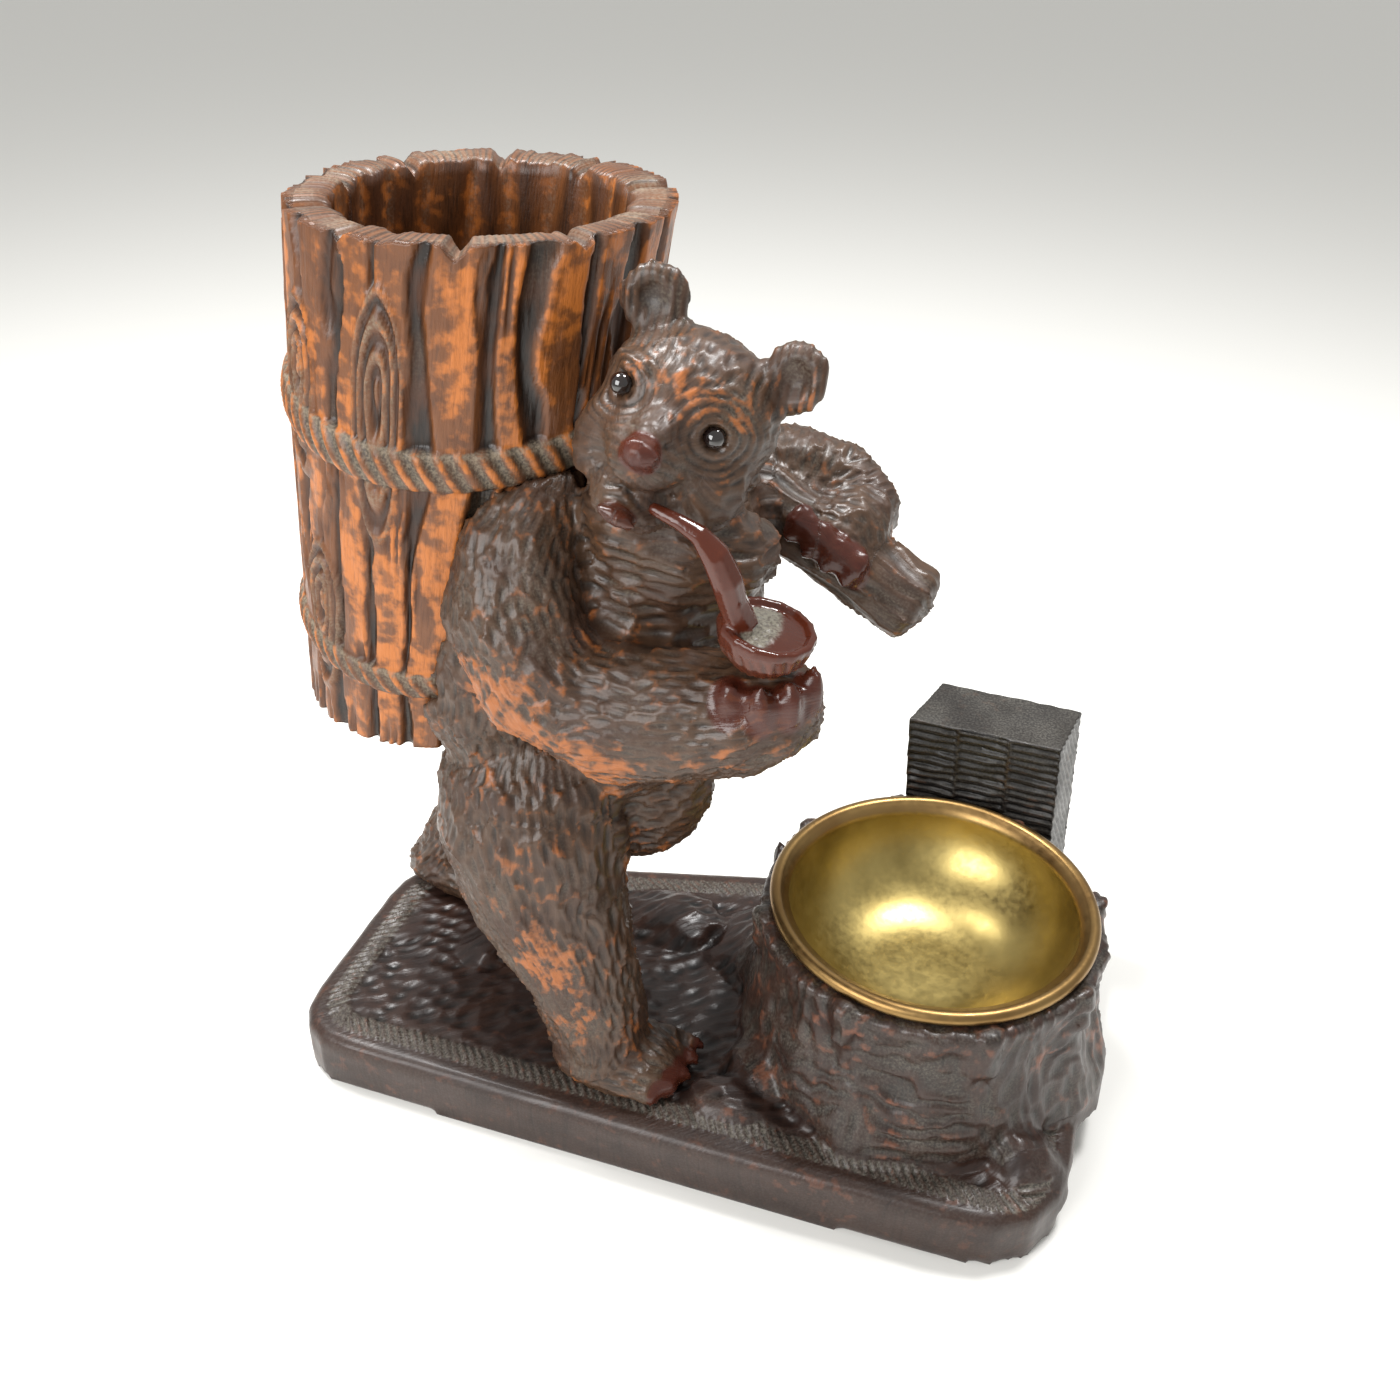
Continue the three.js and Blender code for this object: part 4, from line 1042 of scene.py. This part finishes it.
@dataclass
class GroundAndStump:
    """The plank with its carved ground, the border of chips and the stump, one carving."""

    skin: float = 1.18
    left: float = -90.0
    right: float = 82.5
    front: float = -54.0
    back_left: float = 9.0
    back_right: float = 55.0
    top: float = 14.0
    corner: float = 15.0
    margin: float = 4.3
    chips: float = 4.4
    chip_pitch: float = 2.0
    stump_at: tuple[float, float] = (44.0, -5.5)
    stump_radius: float = 36.0

    def edge_distance(self, at: np.ndarray) -> tuple[np.ndarray, np.ndarray]:
        """Measures the plan of the plank.

        Args:
            at: Places, whose height doesn't matter.

        Returns:
            Distance in from the rounded outline, and a running distance along it.
        """
        corners = np.array([
            (self.left, self.front), (self.right, self.front), (self.right, self.back_right),
            (self.left, self.back_left),
        ])
        depth = []
        along = []
        start = 0.0
        for i in range(4):
            here, there = corners[i], corners[(i + 1) % 4]
            step = np.linalg.norm(there - here)
            ahead = (there - here) / step
            inward = np.array([-ahead[1], ahead[0]])
            rest = at[:, :2] - here
            depth.append(rest @ inward)
            along.append(start + rest @ ahead)
            start += step
        depth = np.stack(depth, -1)
        order = np.sort(depth, axis=1)
        near = np.argmin(depth, axis=1)
        round_off = self.corner
        first, second = order[:, 0], order[:, 1]
        in_corner = (first < round_off) & (second < round_off)
        curved = round_off - np.hypot(round_off - first, round_off - second)
        distance = np.where(in_corner, curved, first)
        running = np.take_along_axis(np.stack(along, -1), near[:, None], 1)[:, 0]
        return distance, running

    def build(self, finish: CarvedWood) -> bpy.types.Object:
        """Carves the base and the stump.

        Args:
            finish: Their wood.

        Returns:
            The base.
        """
        piece = merged_copy("base_and_stump", "carved_base_and_stump")
        remeshed(piece, self.skin)

        def worked(centre: np.ndarray, facing: np.ndarray) -> np.ndarray:
            """Faces of the ground and of the stump's outside."""
            off = np.hypot(centre[:, 0] - self.stump_at[0], centre[:, 1] - self.stump_at[1])
            recess = (off < self.stump_radius - 3) & (centre[:, 2] > self.top + 4)
            return (centre[:, 2] > self.top - 1.6) & ~recess & (facing[:, 2] > -0.5)

        rough = Carving(piece)
        raised = rising(self.top - 0.2, self.top + 1.5, rough.at[:, 2])
        rough.soften(12, raised)
        rough.write()
        refine(piece, worked)
        carving = Carving(piece)
        carving.soften(2, rising(self.top - 2, self.top + 0.5, carving.at[:, 2]))
        carving.write()
        self._carve(carving)
        shade_smooth(piece)
        dress(piece, finish.material(), "base_wood", "base_and_stump")
        return piece

    def _carve(self, carving: Carving) -> None:
        """Cuts the border, the ground and the bark of the stump, and paints shade into the recess under the bowl."""
        at = carving.at
        count = len(at)
        inset, running = self.edge_distance(at)
        up = carving.normal[:, 2]
        off_x, off_y = at[:, 0] - self.stump_at[0], at[:, 1] - self.stump_at[1]
        off = np.hypot(off_x, off_y)
        turn = np.arctan2(off_y, off_x)
        on_top = rising(self.top - 1.2, self.top - 0.2, at[:, 2])
        stump = rising(9.5, 5.0, off - self.stump_radius) * rising(self.top + 1.0, self.top + 4.0, at[:, 2])
        recess = rising(1.0, -1.0, off - (self.stump_radius - 2.5)) * rising(self.top + 2, self.top + 6, at[:, 2])
        border_low, border_high = self.margin, self.margin + self.chips
        border = rising(border_low - 0.5, border_low + 0.4, inset) * rising(border_high + 0.8, border_high - 0.4, inset)
        border = border * on_top * (1 - stump) * rising(self.top + 2.5, self.top + 1.2, at[:, 2])
        ground = on_top * rising(border_high - 0.2, border_high + 1.0, inset) * (1 - stump)
        chip = (running + 0.75 * (inset - border_low)) / self.chip_pitch + 0.12 * noise(at, 3.0, 141)
        chip_cut = np.abs(chip - np.round(chip)) * 2
        chip_rise = 1.1 * chip_cut - 0.4
        sway = 2.0 * noise(at, 10.0, 142)
        slant = 0.62
        one = at[:, 0] * math.cos(slant) + at[:, 1] * math.sin(slant) + sway
        two = -at[:, 0] * math.sin(slant) + at[:, 1] * math.cos(slant) + sway
        cuts = gouge(one / 5.5, two / 3.0, 145)
        ground_rise = 0.6 * (cuts.hollow ** 1.3 - 0.5) * (0.5 + cuts.chance) + 0.25 * noise(at, 5.0, 148)
        arc = turn * self.stump_radius
        wander = 3.2 * noise(at * np.array([1, 1, 0.55]), 9.0, 151) + 1.0 * noise(at, 3.4, 152)
        stripe = (arc + wander) / 3.3
        bark = gouge(at[:, 2] / 9.0 + 0.15 * wander, stripe, 153)
        swirl = np.cos(2 * math.pi * (0.5 * at[:, 2] + wander * 1.2) / 2.6)
        panel = rising(-0.1, 0.3, noise(at, 13.0, 156))
        stump_rise = 0.75 * (bark.hollow ** 1.2 - 0.5) * (1 - panel) + 0.28 * swirl * panel
        rise = border * chip_rise + ground * ground_rise + stump * (1 - recess) * stump_rise
        side = 1 - on_top
        rise = rise + 0.08 * side * noise(at * np.array([0.3, 0.3, 1.0]), 1.6, 158)
        rise = rise * (at[:, 2] > 0.6)
        relief = np.select(
            [border > 0.5, ground > 0.5, stump > 0.5],
            [chip_cut, np.clip(0.5 + ground_rise, 0, 1),
             np.clip(0.5 + 0.9 * stump_rise, 0, 1)], 0.62 + 0.1 * noise(at, 6.0, 159),
        )
        wear = np.select([border > 0.5, ground > 0.5, stump > 0.5], [0.12, 0.04, 0.2 + 0.25 * noise(at, 9.0, 160)],
                         0.12 + 0.06 * noise(at * np.array([0.2, 0.2, 1.0]), 3.0, 161))
        near_border = rising(12, 7, inset) * on_top
        dust = np.select([border > 0.5, ground > 0.5, stump > 0.5],
                         [0.75 - 0.4 * chip_cut, 0.05 + 0.35 * near_border + 0.1 * noise(at, 6.0, 162),
                          0.3 * (1 - relief) + 0.15 + 0.15 * noise(at, 5.0, 163)], 0.22)
        carving.push(rise)
        # Painted shade: in the recess under the bowl the relief mark is lowered and the dust taken away, so it reads
        # dark.
        carving.mark("relief", np.clip(relief * (1 - 0.8 * recess), 0, 1))
        carving.mark("wear", np.clip(wear, 0, 1))
        carving.mark("dust", np.clip(dust * (1 - recess), 0, 1))
        carving.mark("polish", np.zeros(count))
        wall = np.stack([at[:, 2], arc, np.full(count, 20.0)], -1)
        plan = np.stack([one, two, np.zeros(count)], -1)
        flow = np.where((stump > 0.5)[:, None], wall, plan)
        carving.mark("flow", flow * MM)


# Match block


@dataclass
class MatchBlock:
    """The upright that held a matchbox: a leaning block with three columns of short cuts on its front."""

    skin: float = 0.42

    def build(self, finish: CarvedWood) -> bpy.types.Object:
        """Carves the block and paints shade onto its top.

        Args:
            finish: Its wood.

        Returns:
            The block.
        """
        low, high = (np.array(corner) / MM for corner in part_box("match_block"))
        piece = merged_copy("match_block", "match_block_carved")
        remeshed(piece, self.skin)
        carving = Carving(piece)
        carving.soften(6)
        carving.write()
        at = carving.at
        front = rising(-0.5, -0.85, carving.normal[:, 1])
        side = rising(0.55, 0.9, carving.normal[:, 0])
        top = rising(0.6, 0.9, carving.normal[:, 2])
        lean = (at[:, 2] - high[2]) * 0.075
        across = at[:, 0] + lean - 29.4
        column = across / 11.7
        in_column = np.abs(column - np.floor(column) - 0.5) * 2
        row = at[:, 2] / 2.15 + 0.5 * (np.floor(column) % 2) + 0.1 * noise(at, 4.0, 171)
        cut = (0.5 - np.abs(row - np.round(row))) * 2
        front_cut = -0.85 * cut ** 1.5 * rising(1.0, 0.86, in_column)
        slash = (at[:, 2] * 0.8 + at[:, 1] * 1.1) / 2.6 + 0.1 * noise(at, 4.0, 172)
        side_cut = -0.5 * ((0.5 - np.abs(slash - np.round(slash))) * 2) ** 1.6
        tooling = 0.12 * noise(at, 2.4, 173) + 0.1 * noise(at, 6.0, 174)
        rise = front * front_cut + side * side_cut + tooling
        carving.push(rise)
        relief = np.clip(0.75 + 1.1 * (front * front_cut + side * side_cut), 0, 1)
        # Painted shade: the relief mark is lowered on the upward faces, so the top reads darker.
        carving.mark("relief", relief * (1 - 0.35 * top))
        carving.mark("wear", np.clip(0.15 + 0.2 * noise(at, 8.0, 175), 0, 1))
        dust = 0.12 + 0.4 * front * rising(0.0, 0.35, cut) * rising(0.9, 0.5, cut) + 0.3 * top
        carving.mark("dust", np.clip(dust + 0.12 * noise(at, 5.0, 176), 0, 1))
        carving.mark("polish", np.zeros(len(at)))
        carving.mark("flow", np.stack([at[:, 0], at[:, 2], at[:, 1]], -1) * MM)
        shade_smooth(piece)
        dress(piece, finish.material(), "block_wood", "match_block")
        return piece


# Pipe


@dataclass
class Pipe:
    """The pipe: a bent stem, a ringed shank and a wide cup with a rough filling."""

    skin: float = 0.3
    cup_at: Triple = (13.0, -43.6, 134.0)
    cup_radius: float = 8.5

    def build(self, finish: CarvedWood) -> bpy.types.Object:
        """Makes the pipe.

        Args:
            finish: Its wood.

        Returns:
            The pipe.
        """
        piece = merged_copy("pipe", "polished_pipe")
        remeshed(piece, self.skin)
        carving = Carving(piece)
        carving.soften(16)
        carving.write()
        at = carving.at
        off = at - np.array(self.cup_at)
        reach = np.hypot(off[:, 0], off[:, 1])
        fill = rising(6.4, 5.6, reach) * rising(-0.4, 0.2, off[:, 2]) * rising(2.2, 1.4, off[:, 2])
        wall = rising(-0.6, -2.0, off[:, 2]) * rising(3.0, 5.0, reach)
        turn = np.arctan2(off[:, 1], off[:, 0])
        grooves = -0.16 * (0.5 + 0.5 * np.cos(26 * turn + 0.8 * off[:, 2])) * wall
        rise = fill * (0.35 * noise(at, 1.6, 181) + 0.25 * noise(at, 0.8, 182)) + grooves
        carving.push(rise)
        count = len(at)
        carving.mark("relief", np.clip(0.65 + 2.0 * grooves - 0.5 * fill, 0, 1))
        carving.mark("wear", np.clip(0.2 + 0.2 * noise(at, 4.0, 183), 0, 1) * (1 - fill))
        carving.mark("dust", np.clip(0.9 * fill + 0.08, 0, 1))
        carving.mark("polish", (1 - fill) * (1 - 0.6 * wall) * np.ones(count))
        carving.mark("flow", np.stack([at[:, 2], at[:, 0], at[:, 1]], -1) * MM)
        shade_smooth(piece)
        dress(piece, finish.material(), "pipe_wood", "pipe")
        return piece


# Brass bowl


@dataclass
class BrassBowl:
    """The spun bowl with its rolled rim."""

    at: tuple[float, float] = (44.0, -5.5)
    radius: float = 35.0
    rim_top: float = 53.0
    roll: float = 1.5
    wall: float = 1.1
    depth: float = 23.0
    floor_radius: float = 9.0
    steps: int = 144

    def _arc(self, reach: float, low: float, count: int) -> list[tuple[float, float]]:
        """Curve of the bowl from its floor to below its rim."""
        top = self.rim_top - self.roll
        turns = [i / count * math.pi / 2 for i in range(count + 1)]
        return [(self.floor_radius + (reach - self.floor_radius) * math.sin(t), top - (top - low) * math.cos(t))
                for t in turns]

    def build(self, finish: SatinBrass) -> bpy.types.Object:
        """Spins the bowl.

        Args:
            finish: Its brass.

        Returns:
            The bowl.
        """
        bottom = self.rim_top - self.depth
        inner = self.radius - 2 * self.roll
        rolled = [(self.radius - self.roll + self.roll * math.cos(t), self.rim_top - self.roll + self.roll * math.sin(t))
                  for t in np.linspace(-0.6 * math.pi, 0.85 * math.pi, 14)]
        inside = self._arc(inner - self.wall, bottom + self.wall, 18)[::-1]
        profile = [(0.0, bottom), (4.5, bottom), *self._arc(inner, bottom, 18), *rolled, *inside,
                   (4.5, bottom + self.wall), (0.0, bottom + self.wall)]
        body = bmesh.new()
        points = [body.verts.new((r * MM, 0, z * MM)) for r, z in profile]
        edges = [body.edges.new(pair) for pair in zip(points, points[1:])]
        bmesh.ops.spin(body, geom=[*points, *edges], cent=(0, 0, 0), axis=(0, 0, 1), angle=2 * math.pi,
                       steps=self.steps, use_merge=True)
        bmesh.ops.remove_doubles(body, verts=body.verts, dist=0.001 * MM)
        bmesh.ops.recalc_face_normals(body, faces=body.faces)
        bmesh.ops.translate(body, verts=body.verts, vec=(self.at[0] * MM, self.at[1] * MM, 0))
        mesh = bpy.data.meshes.new("spun_brass_bowl")
        body.to_mesh(mesh)
        body.free()
        piece = place("spun_brass_bowl", mesh)
        shade_smooth(piece)
        dress(piece, finish.material(self.rim_top - 2 * self.roll), "brass", "brass_bowl")
        return piece


# Eyes


@dataclass
class GlassEyes:
    """The two glass beads."""

    head: HeadAxes = field(default_factory=HeadAxes)

    def build(self, finish: BlackGlass) -> list[bpy.types.Object]:
        """Makes the beads.

        Args:
            finish: Their glass.

        Returns:
            The right and the left eye.
        """
        material = finish.material()
        made = []
        for side, node in ((-1, "eye_right"), (1, "eye_left")):
            centre = self.head.place((side * self.head.eye_spread, 0.0, 0.2))
            body = bmesh.new()
            bmesh.ops.create_uvsphere(body, u_segments=40, v_segments=24, radius=self.head.eye_radius * MM)
            bmesh.ops.translate(body, verts=body.verts, vec=Vector(centre * MM))
            mesh = bpy.data.meshes.new(f"glass_{node}")
            body.to_mesh(mesh)
            body.free()
            piece = place(f"glass_{node}", mesh)
            shade_smooth(piece)
            dress(piece, material, "eye_glass", node)
            made.append(piece)
        return made


# Studio


@dataclass
class Studio:
    """Pale floor, soft lights and the camera, looking down on the set from its face side."""

    camera_at: Triple = (57.0, -227.0, 247.0)
    right: Triple = (0.952, 0.304, 0.026)
    up: Triple = (-0.191, 0.527, 0.828)
    back: Triple = (0.238, -0.794, 0.560)
    focal: float = 34.714
    floor_tone: str = "#f1f0ec"

    def build(self) -> None:
        """Makes the camera, the lights and the floor."""
        self._camera()
        self._floor()
        self._light("right ceiling light", (144, 150, 605), (10, -10, 60), 110, 2.6)
        self._light("left ceiling light", (-226, 36, 590), (0, -10, 70), 130, 3.2)
        self._light("front fill", (-180, -420, 300), (0, -20, 80), 300, 2.2)
        world = bpy.data.worlds.new("studio")
        bpy.context.scene.world = world
        world.use_nodes = True
        world.node_tree.nodes["Background"].inputs[0].default_value = tone("#dcdcda")
        world.node_tree.nodes["Background"].inputs[1].default_value = 0.8
        settings = bpy.context.scene.view_settings
        settings.view_transform = "Standard"
        settings.look = "None"
        settings.exposure = 0.0

    def _camera(self) -> None:
        """Makes the camera at the photograph's angle."""
        data = bpy.data.cameras.new("camera")
        data.sensor_width = 36.0
        data.lens = self.focal
        data.clip_start = 0.005
        data.clip_end = 20
        camera = bpy.data.objects.new("camera", data)
        turn = Matrix((self.right, self.up, self.back)).transposed()
        camera.matrix_world = Matrix.Translation(Vector(self.camera_at) * MM) @ turn.normalized().to_4x4()
        bpy.context.scene.collection.objects.link(camera)
        bpy.context.scene.camera = camera

    def _floor(self) -> None:
        """Makes the plain floor."""
        body = bmesh.new()
        bmesh.ops.create_grid(body, x_segments=1, y_segments=1, size=3.0)
        mesh = bpy.data.meshes.new("floor")
        body.to_mesh(mesh)
        body.free()
        floor = place("floor", mesh)
        made = bpy.data.materials.new("matt paper")
        made.use_nodes = True
        shader = made.node_tree.nodes["Principled BSDF"]
        shader.inputs["Base Color"].default_value = tone(self.floor_tone)
        shader.inputs["Roughness"].default_value = 0.85
        floor.data.materials.append(made)

    def _light(self, name: str, at: Triple, toward: Triple, size: float, power: float) -> None:
        """Makes one soft light.

        Args:
            name: What it is.
            at: Where it hangs, in millimetres.
            toward: What it looks at.
            size: Its side.
            power: Its watts.
        """
        data = bpy.data.lights.new(name, "AREA")
        data.shape = "SQUARE"
        data.size = size * MM
        data.energy = power
        lamp = bpy.data.objects.new(name, data)
        lamp.location = Vector(at) * MM
        lamp.rotation_euler = (Vector(toward) - Vector(at)).to_track_quat("-Z", "Y").to_euler()
        bpy.context.scene.collection.objects.link(lamp)


BEAR_WOOD = CarvedWood("gouge-cut limewood", "#160d08", "#4a3526", "#3a2418", "#9a5a2c", "#8c8272", "#45190f")
BARK_WOOD = CarvedWood("bark-cut limewood", "#170d07", "#6a3f20", "#4a2a16", "#b0662a", "#857866", "#45190f",
                       rough=0.4, grain=0.5, lines=0.12)
BASE_WOOD = CarvedWood("chip-cut limewood", "#0b0705", "#33211a", "#241612", "#7a4a34", "#7d776c", "#45190f",
                       rough=0.38)
BLOCK_WOOD = CarvedWood("block limewood", "#050404", "#1c1613", "#130e0c", "#4a3222", "#6d6a62", "#45190f",
                        rough=0.4)
PIPE_WOOD = CarvedWood("polished pipe wood", "#1a0a06", "#5a2a18", "#45200f", "#8a4a26", "#8f8a7c", "#4a1f12",
                       rough=0.34, lines=0.03)


def main() -> None:
    """Builds the set piece by piece."""
    Studio().build()
    BrassBowl().build(SatinBrass())
    GlassEyes().build(BlackGlass())
    Pipe().build(PIPE_WOOD)
    MatchBlock().build(BLOCK_WOOD)
    TrunkJar().build(BARK_WOOD)
    GroundAndStump().build(BASE_WOOD)
    Bear().build(BEAR_WOOD)


if __name__ == "__main__":
    main()
